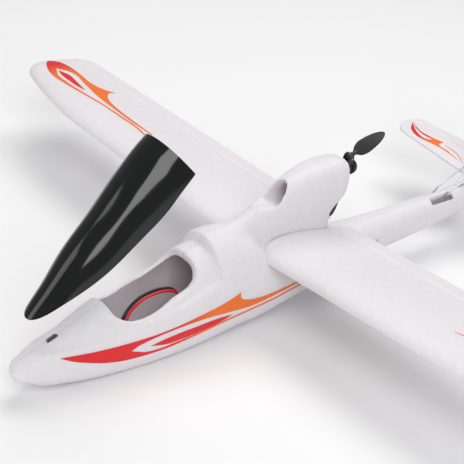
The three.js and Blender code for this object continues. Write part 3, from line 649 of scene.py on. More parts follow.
# ---- fuselage --------------------------------------------------------------------------------
@dataclass
class FuselageShape:
    """Sizes and section formula of the moulded fuselage, shared by the shell, the canopy and the films.

    A section is a superellipse about its middle height: the half width times the cosine of an angle, and
    the height over or under the middle times its sine, each raised to 2 over a power that is 2.2 above
    and 2.4 below.
    """

    stations: Array = field(default_factory=lambda: np.array([
        [-142, 9.2, 13.4, 32.2], [-130, 13.6, 7.2, 38.6], [-110, 17.3, 2.4, 46.8],
        [-85, 22.2, -1.2, 57.9],
        [-55, 25.3, -3.6, 68.0], [-25, 28.2, -4.5, 79.5], [5, 29.8, -3.0, 88.5], [30, 29.6, -0.7, 91.0],
        [52, 29.0, 1.8, 84.0], [72, 28.0, 4.4, 70.0], [95, 25.8, 8.4, 62.5], [125, 23.2, 12.5, 60.0],
        [155, 20.6, 16.2, 58.0], [200, 16.6, 21.1, 55.8], [260, 13.6, 25.3, 56.0],
        [330, 11.0, 30.3, 57.2],
        [391.4, 9.2, 33.6, 60.0]], float))
    pod: Array = field(default_factory=lambda: np.array([
        [40, 11.4, 24, 146], [60, 11.4, 24, 147], [70, 11.3, 24, 147], [79, 11.5, 24, 147.5],
        [86, 12.4, 31, 152],
        [92, 13.6, 45, 157.5], [97, 14.8, 57, 159.4], [104, 15.6, 71, 159.6], [110, 15.6, 81, 159.6],
        [115, 14.9, 89, 159.5], [119, 13.5, 98.5, 158.8], [122, 11.3, 109, 157], [124.4, 7.8, 123, 152.5],
        [125.6, 3.4, 133, 146]], float))
    crease: Array = field(default_factory=lambda: np.array([
        [-152, 36.5], [-132, 36.5], [-111, 37.2], [-90, 39.0], [-65, 42.0], [-41, 47.4], [-16, 53.5],
        [-2, 58.6],
        [15, 63.8]], float))
    arch_top: tuple[float, float] = (9.0, 100.0)
    nose_y: float = -150.0
    wall: float = 4.5
    upper_power: float = 2.2
    lower_power: float = 2.4
    mid_share: float = 0.45

    def rows(self, y: Array, inset: float | Array = 0.0,
             drop: float | Array = 0.0) -> tuple[Array, Array, Array, Array]:
        """Measures of the section at y; ahead of the first station they shrink as a quarter circle does.

        Args:
            y: Where to cut.
            inset: How far the section is drawn in all round.
            drop: How far its top is lowered as well.

        Returns:
            Half width, bottom, middle and top.
        """
        first = self.stations[0]
        row = through(self.stations, y)
        depth = np.clip((first[0] - y) / (first[0] - self.nose_y), 0, 1)
        taper = np.sqrt(np.maximum(0.0025, 1 - depth**2))
        tip = first[2] + self.mid_share * (first[3] - first[2])
        half = np.maximum(0.3, row[..., 0] * taper - inset)
        low = tip * (1 - taper) + row[..., 1] * taper + inset
        high = tip * (1 - taper) + row[..., 2] * taper - inset - drop
        middle = low + self.mid_share * (high - low)
        return half, low, middle, high

    def side_x(self, y: Array, z: Array) -> Array:
        """Distance of the outer skin from the centre plane at that y and height."""
        half, low, middle, high = self.rows(y)
        upper = z > middle
        p = np.where(upper, self.upper_power, self.lower_power)
        share = np.clip(np.abs(z - middle) / np.where(upper, high - middle, middle - low), 0, 1)
        return half * (1 - share**p) ** (1 / p)

    def edge_z(self, y: Array) -> Array:
        """Height of the canopy's lower edge at y."""
        return through(self.crease, y)[..., 0]


@dataclass(frozen=True)
class Slot:
    """Straight opening cut into the foam: its limits along X, Y and Z, and the rounding of its edges."""

    x: tuple[float, float]
    y: tuple[float, float]
    z: tuple[float, float]
    edge: float


SLOTS = {
    "wire_shaft": Slot((-5.5, 5.5), (118, 136), (50, 108), 0.8),
    "left_wire_exit": Slot((3, 8.5), (282, 312), (44, 64), 0.6),
    "right_wire_exit": Slot((-8.5, -3), (282, 312), (44, 64), 0.6),
    "fin_root": Slot((-2.35, 2.35), (351.6, 378.4), (46.6, 66), 0.4),
    "elevator_gap": Slot((-20, 20), (384.5, 400), (58.2, 64), 0.5),
    "canopy_catch": Slot((-2.4, 2.4), (-122.5, -113.5), (38.6, 60), 0.8),
}


@dataclass
class Fuselage:
    """The two foam halves, worked out as one field.

    A long superellipse body and the motor pod run together in a soft union. The canopy seat, the ledge,
    the bay, the duct and the slots are then taken out with rounded edges. For each cut-out, corner is the
    rounding inside it and edge is the rounding at the skin.
    """

    shape: FuselageShape
    wing: "WingShape"
    seam: float = 0.05
    glue: float = 1.2
    flat_edge: float = 1.2
    pod_blend: float = 9.0
    boom_end: float = 391.4
    seat: float = 1.8
    seat_corner: float = 2.0
    seat_edge: float = 3.0
    ledge_y: tuple[float, float] = (-19, 30)
    ledge_drop: float = 5.5
    ledge_corner: float = 3.0
    ledge_edge: float = 4.5
    bay_y: tuple[float, float] = (-128, 318)
    bay_floor: float = 4.0
    bay_corner: float = 0.8
    bay_edge: float = 1.6
    roof: Array = field(default_factory=lambda: np.array([[-42, 0], [-26, 9.5], [38, 9.5], [54, 0]]))
    sill: Array = field(default_factory=lambda: np.array([
        [-76, 57], [-75, 54.5], [-71, 50.3], [-66.5, 48], [-59, 46.4], [-51.5, 46.8], [-42, 49.6],
        [-24, 55.8], [-16.5, 58.4], [-9.3, 62], [-5, 66.5], [-3, 71]]))
    duct_line: Array = field(default_factory=lambda: np.array([
        [66, 99.5, 124, 8.8], [92, 97.4, 117.5, 8.2], [99, 97, 112, 8.2], [115, 97.3, 112.2, 8.2],
        [140, 100, 116, 8.2]]))
    duct_base: float = 3.0
    joiner_at: tuple[float, float, float] = (0, 100, 64)
    joiner_radius: float = 2.8
    motor_at: tuple[float, float, float] = (0, 0, 112)
    motor_radius: float = 10.8
    lattice: Lattice = field(default_factory=lambda: Lattice(
        np.concatenate([np.arange(-5.4, -0.5, 0.8), [-0.15, 0.15, 0.5, 0.95], np.arange(1.6, 32.5, 0.95)]),
        np.concatenate([np.arange(-153, 176, 1.0), np.arange(176, 396, 2.0)]),
        np.arange(-3.0, 129.5, 1.0)))

    def body(self, inset: float, floor: float, drop: Array | float = 0.0) -> Array:
        """Field of the body: the distance to the middle axis, less that distance over a measure.

        The measure is the share of the half width and the share of the height, each raised to the
        section's power, added, and brought back by its root. Ahead of the first station the measure and
        the share of the way to the nose, squared and added, make 1 on the skin.

        Args:
            inset: How far the skin is drawn in.
            floor: Height of the flat underside.
            drop: How far the top is lowered as well.

        Returns:
            The field at every lattice point.
        """
        X, Y, Z = self.lattice.mesh
        first, tip = self.shape.stations[0, 0], self.shape.nose_y + inset
        rows = self.shape.rows(np.maximum(self.lattice.ys, first), inset, drop)
        half, low, middle, high = (v[None, :, None] for v in rows)
        rise = Z - middle
        upper = rise > 0
        p = np.where(upper, self.shape.upper_power, self.shape.lower_power)
        across = (np.abs(X) / half) ** p
        measure = (across + (np.abs(rise) / np.where(upper, high - middle, middle - low)) ** p) ** (1 / p)
        ahead = np.maximum(first - Y, 0)
        measure = np.sqrt(measure**2 + (ahead / (first - tip)) ** 2)
        reach = np.sqrt(X**2 + rise**2 + ahead**2)
        raw = reach - reach / np.maximum(measure, NEAR_ZERO)
        return soft_max(self.lattice.even(raw), floor - Z, self.flat_edge)

    def pod_field(self) -> Array:
        """Field of the pod: at each height an ellipse in front and a squarer curve behind."""
        X, Y, Z = self.lattice.mesh
        half, front, rear = (v[None, None, :] for v in through(self.shape.pod, self.lattice.zs).T)
        blunt = np.minimum(20, (rear - front) / 2)
        middle = rear - blunt
        behind = Y > middle
        p = np.where(behind, 3.2, 2.0)
        length = np.where(behind, blunt, middle - front)
        measure = ((np.abs(X) / half) ** p + (np.abs(Y - middle) / length) ** p) ** (1 / p)
        reach = np.sqrt(X**2 + (Y - middle) ** 2)
        raw = self.lattice.even(reach - reach / np.maximum(measure, NEAR_ZERO))
        top, foot = self.shape.pod[-1, 0], self.shape.pod[0, 0]
        return soft_max(soft_max(raw, Z - top, 2.0), foot - Z, 1.0)

    def wing_socket(self) -> Array:
        """Field of the wing's root, drawn in so that the foam grips it."""
        X, Y, Z = self.lattice.mesh
        upper, lower, front, rear = self.wing.heights(np.abs(X), Y)
        thick = self.lattice.even(np.maximum(Z - upper, lower - Z)) + self.glue
        ends = np.maximum(front - Y, Y - rear) + self.glue
        return np.maximum(np.maximum(thick, ends), self.wing.root_x - 0.3 - X)

    def duct(self) -> Array:
        """Field of the cooling duct, which reaches up through the skin ahead of its mouth.

        A section is half an ellipse over a shallow, almost flat base: the share of the half width squared,
        plus the share of the height squared above the base and to the fourth power below, make 1.
        """
        X, Y, Z = self.lattice.mesh
        line, base = self.duct_line, self.duct_base
        low, high, half = (
            np.interp(self.lattice.ys, line[:, 0], line[:, n])[None, :, None] for n in (1, 2, 3))
        rise = Z - low - base
        over = (X / half) ** 2 + np.where(rise > 0, (rise / (high - low - base)) ** 2, (rise / base) ** 4)
        reach = np.sqrt(X**2 + rise**2)
        raw = self.lattice.even(reach - reach / np.maximum(np.sqrt(over), NEAR_ZERO))
        first, last = line[0, 0], line[-1, 0]
        return np.maximum(raw, np.abs(Y - (first + last) / 2) - (last - first) / 2)

    def canopy_zone(self) -> list[tuple[float, float]]:
        """Y-Z outline of everything above the canopy's lower edge and ahead of its arch."""
        ys = np.linspace(self.shape.crease[0, 0], self.shape.crease[-1, 0], 70)
        edge = [(float(y), float(z)) for y, z in zip(ys, self.shape.edge_z(ys))]
        return edge + [self.shape.arch_top, (-155, self.shape.arch_top[1])]

    def mouth(self) -> list[tuple[float, float]]:
        """Y-Z outline of the bay mouth: a smooth line through the sill's points, closed far above."""
        ys = np.linspace(self.sill[0, 0], self.sill[-1, 0], 60)
        line = [(float(y), float(z)) for y, z in zip(ys, through(self.sill, ys)[:, 0])]
        return line + [(ys[-1] - 4, 100.0), (ys[0], 100.0)]

    def cuts(self) -> list[tuple[Array, float]]:
        """Fields of all that is cut into the foam, each with the rounding of its edges."""
        grid = self.lattice
        fitted = [(self.wing_socket(), 0.1), (self.duct(), 1.6),
                  (grid.rod(0, self.joiner_at, self.joiner_radius, (-60, 60)), 0.3),
                  (grid.rod(1, self.motor_at, self.motor_radius, (125, 175)), 0.8)]
        return fitted + [(grid.block(s.x, s.y, s.z), s.edge) for s in SLOTS.values()]

    def whole(self) -> Array:
        """Field of the whole fuselage, without its joint line."""
        grid = self.lattice
        Y = grid.mesh[1]
        foam = soft_min(self.body(0, 0), self.pod_field(), self.pod_blend)
        foam = np.maximum(foam, Y - self.boom_end)
        zone = grid.prism(self.canopy_zone())
        seat = soft_min(-zone, self.body(self.seat, 0), self.seat_corner)
        foam = soft_max(foam, seat, self.seat_edge)
        ledge = np.maximum(zone, grid.block((-40, 40), self.ledge_y, (50, 110)))
        shelf = soft_min(-ledge, self.body(self.seat, 0, self.ledge_drop), self.ledge_corner)
        foam = soft_max(foam, shelf, self.ledge_edge)
        roof = np.interp(grid.ys, self.roof[:, 0], self.roof[:, 1])
        ends = np.maximum(self.bay_y[0] - Y, Y - self.bay_y[1])
        cavity = np.maximum(self.body(self.shape.wall, self.bay_floor, roof), ends)
        bay = soft_min(cavity, grid.prism(self.mouth()), self.bay_corner)
        foam = soft_max(foam, -bay, self.bay_edge)
        for cut, edge in self.cuts():
            foam = soft_max(foam, -cut, edge)
        return foam

    def build(self, foam: bpy.types.Material) -> None:
        """Skins both halves; a key of the left one sits in a pocket of the right one."""
        grid = self.lattice
        whole = self.whole()
        half = np.maximum(whole, self.seam - grid.mesh[0])
        key = np.maximum(whole, grid.block((-4, 1), (-8, 8), (-1, 2.6)))
        pocket = grid.block((-1, 4.3), (-8.3, 8.3), (-1, 2.9))
        for side, values in ((Side.LEFT, np.minimum(half, key)), (Side.RIGHT, np.maximum(half, -pocket))):
            name = f"fuselage_{side.name.lower()}"
            make_piece(name, on_side(grid.skin(values), side), foam, "airframe", [name + "_shell"])


# ---- wings and tail --------------------------------------------------------------------------
@dataclass
class WingShape:
    """Plan, section and rise of a wing panel.

    The upper line is 2.62 times the root of the chord share t, less 1.9 t and 1.52 t squared, plus 0.86 t
    cubed; the lower line is 0.62 times the root of t less 0.5 t.
    """

    root_x: float = 11.5
    half_span: float = 375.0
    trailing_y: float = 170.0
    chord: float = 105.3
    base_z: float = 58.5
    rise: float = 0.035
    crease_ahead: float = 16.6
    crease_depth: float = 0.8
    edge_radius: float = 1.1

    def plan(self, x: Array) -> tuple[Array, Array, Array, Array]:
        """Plan of the panel: a nearly straight front that sweeps back to a rounded tip.

        Args:
            x: Distance from the centre plane.

        Returns:
            Front, rear, thickness factor and upper flare toward the root.
        """
        sweep = np.minimum(19 * (np.maximum(x - 240, 0) / 117) ** 1.8, 22)
        front = self.trailing_y - self.chord + 0.02 * x + sweep
        rear = self.trailing_y - 0.005 * x
        tip = np.clip((x - 350) / (self.half_span - 350), 0, 1)
        rounding = np.sqrt(np.maximum(0.012, 1 - tip**2.2))
        middle = front + 0.45 * (rear - front)
        front = middle + (front - middle) * (0.35 + 0.65 * rounding)
        rear = middle + (rear - middle) * (0.35 + 0.65 * rounding)
        thick = ((rear - front) / self.chord) ** 0.6 * np.where(tip > 0, rounding, 1)
        flare = 1 + 0.35 * np.exp(-np.maximum(0, x - self.root_x) / 9)
        return front, rear, thick, flare

    def heights(self, x: Array, y: Array) -> tuple[Array, Array, Array, Array]:
        """Upper and lower skin heights at (x, y), with the front and rear edges at x."""
        front, rear, thick, flare = self.plan(x)
        t = np.clip((y - front) / (rear - front), 0, 1)
        upper = 13.176 * np.maximum(0, 2.62 * np.sqrt(t) - 1.9 * t - 1.52 * t**2 + 0.86 * t**3) + 0.7 * t
        lower = -10.4 * np.maximum(0, 0.62 * np.sqrt(t) - 0.5 * t) - 0.5 * t
        base = self.base_z + self.rise * x + 0.8 * (1 - t)
        return base + upper * flare * thick, base + lower * thick, front, rear

    def panel(self, stations: int = 150) -> tuple[Array, list[Array]]:
        """Left wing panel with a round rear edge, sampled closely at the nose and at the crease."""
        x = np.concatenate([np.linspace(self.root_x, 345, stations),
                            345 + 30 * np.sin(np.linspace(0.02, 1, 50) * np.pi / 2)])[:, None]
        front, rear, _, _ = self.plan(x)
        chord = rear - front
        nose = np.clip(1 - (self.crease_ahead + 1.4) / np.maximum(chord, 20), 0.1, 1)
        t_front = nose * (0.5 - 0.5 * np.cos(np.linspace(0, np.pi, 48)))[None]
        t_mid = nose + (2.8 / np.maximum(chord, 20)) * np.linspace(0, 1, 12)[None, 1:]
        last = 1 - self.edge_radius / np.maximum(chord, 20)
        t_rear = t_mid[:, -1:] + (last - t_mid[:, -1:]) * np.linspace(0, 1, 14)[None, 1:]
        t = np.hstack([t_front, t_mid, t_rear])
        y = front + t * chord
        top, bottom, _, _ = self.heights(x, y)
        away = (rear - self.crease_ahead - y) / 0.9
        top = top - self.crease_depth * np.exp(-away**2) * smooth((365 - x) / 12) * smooth((x - 30) / 6)
        turn = np.linspace(0, np.pi, 9)[None, 1:-1]
        middle = (top[:, -1:] + bottom[:, -1:]) / 2
        radius = (top[:, -1:] - bottom[:, -1:]) / 2
        edge_y = y[:, -1:] + (rear - y[:, -1:]) * np.sin(turn)
        edge_z = middle + radius * np.cos(turn)
        ring_y = np.hstack([y, edge_y, y[:, :0:-1]])
        ring_z = np.hstack([top, edge_z, bottom[:, :0:-1]])
        return closed_loft(np.stack([np.broadcast_to(x, ring_y.shape), ring_y, ring_z], -1))


def plate(along: Array, front: Array, rear: Array, half_thick: Array, tail_share: float,
          cuts: int = 30) -> Array:
    """Rings of a thin foam plate: full behind its round nose, easing to a share of that at the rear.

    Args:
        along: Places of the rings across the plate.
        front: Front edge at each ring.
        rear: Rear edge at each ring.
        half_thick: Half thickness at each ring.
        tail_share: Share of the thickness left at the rear edge.
        cuts: Samples along the plate.

    Returns:
        Rings of (across, along the flow, thickness) points.
    """
    t = (0.5 - 0.5 * np.cos(np.linspace(0, np.pi, cuts)))[None]
    chord = (rear - front)[:, None]
    flow = front[:, None] + t * chord
    from_nose, from_tail = flow - front[:, None], rear[:, None] - flow
    h = half_thick[:, None]
    nose = np.sqrt(np.clip(1 - (1 - np.clip(from_nose / 1.7, 0, 1)) ** 2, 0, 1))
    tail = np.sqrt(np.clip(1 - (1 - np.clip(from_tail / 0.7, 0, 1)) ** 2, 0, 1))
    height = h * nose * tail * (1 - (1 - tail_share) * t**1.5)
    upper = np.stack([np.broadcast_to(along[:, None], flow.shape), flow, height], -1)
    lower = upper[:, -2:0:-1] * np.array([1, 1, -1])
    return np.concatenate([upper, lower], 1)


@dataclass
class Tail:
    """Stabilizer, fin and their two hinged surfaces, as thin foam plates with round edges."""

    stab_z: float = 62.1
    stab_half: float = 119.0
    half_thick: float = 1.7
    moving_thick: float = 1.65
    fin_thick: float = 2.0
    rear_share: float = 0.45
    hinge_y: float = 386.5
    rear_y: float = 402.8
    rudder_y: float = 392.0
    fin_top: float = 158.0

    @staticmethod
    def ends(places: Array, low: float, high: float, thick: float) -> Array:
        """Half thickness that rounds off towards both ends of a plate."""
        gap = np.minimum(places - low, high - places)
        return thick * np.sqrt(np.clip(1 - (1 - np.clip(gap / thick, 0, 1)) ** 2, 0.004, 1))

    def spread(self, low: float, high: float, count: int, stops: Sequence[float] = ()) -> Array:
        """Even places between two ends, crowded at the ends and doubled at the given stops."""
        close = np.array([0, 0.15, 0.4, 0.8, 1.3, 1.9])
        near = [v for s in stops for v in (s - 0.05, s + 0.05)]
        even = np.linspace(low + 2, high - 2, count)
        return np.unique(np.concatenate([low + close, high - close, even, near]))

    def stabilizer(self) -> tuple[Array, list[Array]]:
        """Fixed tailplane: straight swept front edge with round tips."""
        x = self.spread(-self.stab_half, self.stab_half, 90)
        front = 340.5 + 0.192 * np.abs(x) + 0.045 * np.maximum(0, np.abs(x) - 102) ** 2
        thick = self.ends(x, -self.stab_half, self.stab_half, self.half_thick)
        rings = plate(x, front, np.full_like(x, self.hinge_y - 0.9), thick, 1)
        return closed_loft(rings + np.array([0, 0, self.stab_z]))

    def elevator(self) -> tuple[Array, list[Array]]:
        """Moving tailplane: cut back in the middle to clear the rudder, thin at the rear."""
        half = self.stab_half - 0.5
        x = self.spread(-half, half, 110, (-14, -9, 9, 14))
        far = np.interp(np.abs(x), [9, 14, half - 5.5, half - 1.5, half],
                        [self.hinge_y + 4.3, self.rear_y, self.rear_y, self.rear_y - 4, self.rear_y - 9])
        thick = self.ends(x, -half, half, self.moving_thick)
        rings = plate(x, np.full_like(x, self.hinge_y + 0.4), far, thick, self.rear_share)
        return closed_loft(rings + np.array([0, 0, self.stab_z]))

    def fin(self) -> tuple[Array, list[Array]]:
        """Fixed fin: its front edge sweeps up from the boom and rounds over at the top."""
        z = self.spread(58.7, self.fin_top, 70)
        front = through(np.array([[58.6, 322], [68, 331], [78, 338], [110, 350.2], [140, 361.5],
                                  [150, 365.5], [155, 369.5], [157.2, 375], [158, 381]], float),
                        z)[:, 0]
        thick = self.ends(z, 40, self.fin_top, self.fin_thick)
        rings = plate(z, front, np.full_like(z, self.rudder_y - 1), thick, 1)
        return closed_loft(rings[..., [2, 1, 0]])

    def rudder(self) -> tuple[Array, list[Array]]:
        """Hinged rudder: notched at the tailplane and thin at the rear."""
        z = self.spread(38, self.fin_top, 80, (57.4, 66.6))
        front = np.where((z > 57.4) & (z < 66.6), 397.0, self.rudder_y + 0.3)
        rear = through(np.array([[38, 408], [40, 411], [44, 414], [54, 418], [66, 420], [100, 420],
                                 [140, 420], [147, 418.6], [152, 416], [156, 411.5], [158, 407]],
                                float), z)[:, 0].clip(max=420.0)
        thick = self.ends(z, 38, self.fin_top, self.moving_thick)
        rings = plate(z, front, rear, thick, self.rear_share)
        return closed_loft(rings[..., [2, 1, 0]])

    def build(self, foam: bpy.types.Material) -> None:
        """Makes the four plates."""
        for name, node, shape, body in (
                ("stabilizer_foam", "stabilizer", self.stabilizer(), "airframe"),
                ("fin_foam", "vertical_fin", self.fin(), "airframe"),
                ("elevator_foam", "elevator", self.elevator(), "elevator"),
                ("rudder_foam", "rudder", self.rudder(), "rudder")):
            make_piece(name, shape, foam, body, [node])


# ---- canopy ----------------------------------------------------------------------------------
@dataclass
class Canopy:
    """Gloss cover over the bay, held up and forward as if by hand.

    It is the fuselage's own outer skin from the crease up and ahead of the arch, turned about a line
    ahead of the nose.
    """

    shape: FuselageShape
    angle: float = math.radians(29.3)
    pole: tuple[float, float] = (-188.9, 38.5)
    skin: float = 1.3
    lift: float = 0.4
    rows: int = 150
    cols: int = 121

    def front_y(self) -> float:
        """Where the top of the section comes down to the canopy's lower edge."""
        y = np.linspace(-145, -120, 600)
        top = self.shape.rows(y)[3]
        return float(y[np.argmax(top > self.shape.edge_z(y) + self.lift)])

    def seated(self, inset: float) -> Array:
        """Grid over the cover where it sits on the fuselage.

        A column is a constant share of the arc from the top down to an edge. The rows lean at the rear to
        follow the arch, so their places and the section at each are worked out in turn, four times.

        Args:
            inset: How far the grid is drawn in from the outer skin.

        Returns:
            Points by row, from the tip to the arch, and by column, from edge to edge over the top.
        """
        front, foot = self.front_y() + inset, (14.5, 64.2)
        share = np.linspace(0, 1, self.rows)[:, None] ** 1.5
        lean = (self.shape.arch_top[0] - 1.4 - foot[0]) / (self.shape.arch_top[1] - foot[1])
        u = np.linspace(-1, 1, self.cols)[None]
        y = front + share * (foot[0] - front) + 0 * u
        for _ in range(4):
            half, _, middle, high = self.shape.rows(y, inset)
            edge = np.clip((self.shape.edge_z(y) + self.lift - middle) / (high - middle), -0.2, 0.999)
            start = np.arcsin(np.clip(power(edge, self.shape.upper_power / 2), -1, 1))
            a = np.pi / 2 - u * (np.pi / 2 - start)
            x = half * power(np.cos(a), 2 / self.shape.upper_power)
            z = middle + (high - middle) * power(np.sin(a), 2 / self.shape.upper_power)
            rear = foot[0] + lean * np.clip(z - foot[1], 0, None)
            y = front + share * (rear - front)
        return np.stack([x, y, z], -1)

    def build(self, gloss: bpy.types.Material) -> None:
        """Makes the cover from its outer grid and the same grid drawn in by the skin."""
        outer, inner = self.seated(0.0), self.seated(self.skin)
        edge = np.minimum(outer[..., 2], self.shape.edge_z(inner[..., 1]) + self.lift)
        inner[..., 2] = np.maximum(inner[..., 2], edge)
        points, faces = slab(outer, inner)
        lifted = turned_about_x(points, self.angle, *self.pole)
        make_piece("canopy_cover", (lifted, faces), gloss, "canopy", ["canopy_shell"])


# ---- films -----------------------------------------------------------------------------------
@dataclass
class SideFilms:
    """Swept flash on each side of the nose: a head that splits into two arms, with a spear between them.

    Each band lies between two curves of height over y, laid on the fuselage's skin.
    """

    shape: FuselageShape
    proud: float = 0.2
    under: float = 0.05
    split: tuple[float, float] = (-64.5, 24.7)
    tail_y: float = 205.0

    def bands(self) -> dict[str, tuple[float, float, Array, Array]]:
        """Each band's first and last y, its lower curve and its upper curve."""
        tip = (-119.6, 32.1)
        middle = [tip, (-95, 28.6), self.split]
        upper = [tip, (-102.9, 31.9), (-85.9, 32.2), (-65.1, 32.3), (-42.3, 33.2), (-27.4, 35.0),
                 (-15.1, 37.0), (-0.8, 39.5), (15.5, 42.3), (27.4, 45.0), (34.3, 47.2)]
        upper_low = middle + [(-59.3, 27.3), (-51.9, 29.3), (-42, 31.3), (-27, 33.3), (-14.8, 34.2),
                              (-0.2, 34.6), (16.9, 33.4), (34.3, 31.6)]
        notch = [(34.3, 43.5), (36.5, 40.8), (42, 38.4), (55, 35.9), (72, 35.2), (91, 35.0),
                 (140, 37.2), (205, 41.2)]
        upper_rear = [(34.3, 31.6), (45, 30.6), (57, 30.9), (72, 32.0), (91, 33.0), (140, 36.2),
                      (205, 40.8)]
        lower_top = middle + [(-50.5, 19.9), (-40.3, 19.3), (-25, 20.9), (-12.4, 22.4), (2.2, 24),
                              (18.9, 25.7), (41, 27.3), (57.3, 28.4), (74.7, 29.4), (92.7, 30.6),
                              (140, 34.4), (205, 39.6)]
        lower = [tip, (-108.7, 27.2), (-97.1, 23.7), (-85.2, 20.6), (-71.6, 18.1), (-58, 16.9),
                 (-40, 17.1), (-24.3, 18.4), (-12.1, 20.2), (2.6, 22), (19.2, 23.8), (41.7, 25.4),
                 (58, 26.6), (75.4, 27.8), (93.7, 29.2), (140, 33.4), (205, 39.2)]
        spear_top = [(-47.6, 24.4), (-34.2, 27.3), (-21.2, 28.9), (-7, 29.8), (8, 30.5), (17.5, 30.2),
                     (28.8, 28.8)]
        spear_low = [(-47.6, 24.3), (-33.2, 21.9), (-19.9, 22.4), (-5.3, 23.6), (9.7, 25.0),
                     (18.6, 26.3), (28.8, 28.7)]
        rows = {
            "upper_arm": (tip[0], upper[-1][0], upper_low, upper),
            "upper_line": (notch[0][0], self.tail_y, upper_rear, notch),
            "lower_arm": (tip[0], self.tail_y, lower, lower_top),
            "spear": (spear_top[0][0], spear_top[-1][0], spear_low, spear_top)}
        return {k: (a, b, np.array(lo, float), np.array(hi, float)) for k, (a, b, lo, hi) in rows.items()}

    def band(self, first: float, last: float, low: Array, high: Array) -> tuple[Array, list[Array]]:
        """Thin closed strip on the left side between two curves."""
        y = np.linspace(first, last, int((last - first) / 1.2))[:, None]
        bottom, top = through(low, y[:, 0]), through(high, y[:, 0])
        z = bottom + (np.maximum(top, bottom + 0.12) - bottom) * np.linspace(0, 1, 9)[None]
        y = np.broadcast_to(y, z.shape)
        skin = np.stack([self.shape.side_x(y, z), y, z], -1)
        normal = grid_normals(skin)
        normal = normal * np.sign(normal[..., :1])
        return slab(skin + normal * self.proud, skin + normal * self.under)

    def build(self, fading: bpy.types.Material, red: bpy.types.Material) -> None:
        """Lays the bands on both sides."""
        bands = self.bands()
        flash = joined([self.band(*bands[k]) for k in ("upper_arm", "upper_line", "lower_arm")])
        spear = self.band(*bands["spear"])
        for side in Side:
            word = side.name.lower()
            make_piece(f"side_flash_{word}", on_side(flash, side), fading, "airframe")
            make_piece(f"side_spear_{word}", on_side(spear, side), red, "airframe")


@dataclass(frozen=True)
class UpperBand:
    """Band of film on an upper skin: its front and rear line, each as rows of distance outwards and y."""

    front: tuple[tuple[float, float], ...]
    rear: tuple[tuple[float, float], ...]

    def slab(self, height: Callable[[Array, Array], Array], proud: float,
             under: float) -> tuple[Array, list[Array]]:
        """Thin closed strip on the left half of the model.

        Args:
            height: Height of the skin at (x, y).
            proud: How far the strip's top stands off the skin.
            under: How far its underside does.

        Returns:
            Points and face arrays.
        """
        front, rear = np.array(self.front, float), np.array(self.rear, float)
        first, last = front[0, 0], front[-1, 0]
        x = np.linspace(first, last, max(8, int((last - first) / 1.2)))[:, None]
        low, high = through(front, x[:, 0]), through(rear, x[:, 0])
        y = low + (np.maximum(high, low + 0.15) - low) * np.linspace(0, 1, 7)[None]
        x = np.broadcast_to(x, y.shape)
        z = height(x, y)
        return slab(np.stack([x, y, z + proud], -1), np.stack([x, y, z + under], -1))


WING_HEAD = ((343.0, 112.2), (355.0, 116.5), (366.0, 118.2))
WING_BANDS = (
    UpperBand(((180, 100.2), (188.9, 102.4), (203.7, 104.3), (226.2, 104.2), (257.4, 103.9),
               (278.5, 101.7), (308, 99.3), (330, 99.7), (345, 104), (357, 110.5), (366, 118)),
              ((180, 100.5), (190.5, 104.2), (205.2, 106.5), (227.8, 106.4), (258.5, 105.9), (280, 104),
               (310.3, 102.9), (327.8, 104.6)) + WING_HEAD),
    UpperBand(((184.8, 109), (201.4, 108.6), (224.9, 108.9), (238.4, 109.7), (259.2, 110.9),
               (277.6, 112.7)), ((184.8, 110.4), (201, 110.8), (220.8, 111.6), (237.8, 112.9),
                                 (251.4, 114.7), (262.6, 118), (271, 122.4), (277.6, 129))),
    UpperBand(((277.6, 112.7), (306.2, 118.7), (323.3, 122.3), (333, 120)) + WING_HEAD,
              ((277.6, 136.2), (282.9, 131.6), (290.5, 127.6), (303, 125.4), (322.8, 127.8),
               (345, 128.5), (357, 125), (366, 118.4))),
)
WING_SPEAR = UpperBand(((288.5, 108.6), (297.6, 106.9), (311.3, 106.9), (326.5, 107.9), (337, 111)),
                       ((288.5, 108.8), (300.2, 111), (312.2, 113.4), (324.3, 115.2), (337, 111.2)))
TAIL_BANDS = (
    UpperBand(((29.1, 356.9), (37.6, 359.5), (46.1, 361.9), (56.5, 363.3), (62.8, 363.4)),
              ((29.1, 357.5), (39.4, 361.3), (48.5, 364.5), (58.4, 366), (62.8, 368.5))),
    UpperBand(((62.8, 363.4), (73.6, 362.4)), ((62.8, 376.7), (73.6, 374.6))),
    UpperBand(((73.6, 362.4), (84.7, 362.9), (94.6, 366.6), (102.4, 372.2), (110.5, 383.4)),
              ((73.6, 368.3), (78.5, 366.3), (84.1, 366.8), (92.7, 370.5), (100.7, 375.7),
               (110.5, 383.8))),
    UpperBand(((73.6, 371.6), (78.7, 371.1), (87.9, 372.5), (97.9, 376.2), (110.5, 383.7)),
              ((73.6, 374.6), (79.1, 374.6), (90.4, 375.3), (100.4, 379.1), (110.5, 384.2))),
    UpperBand(((22.3, 356), (30.8, 362.7), (40.4, 368), (50.2, 370.7), (57.4, 371.7)),
              ((22.3, 356.3), (30.8, 363.8), (40.4, 369.1), (50.2, 371.8), (57.4, 372.6))),
)


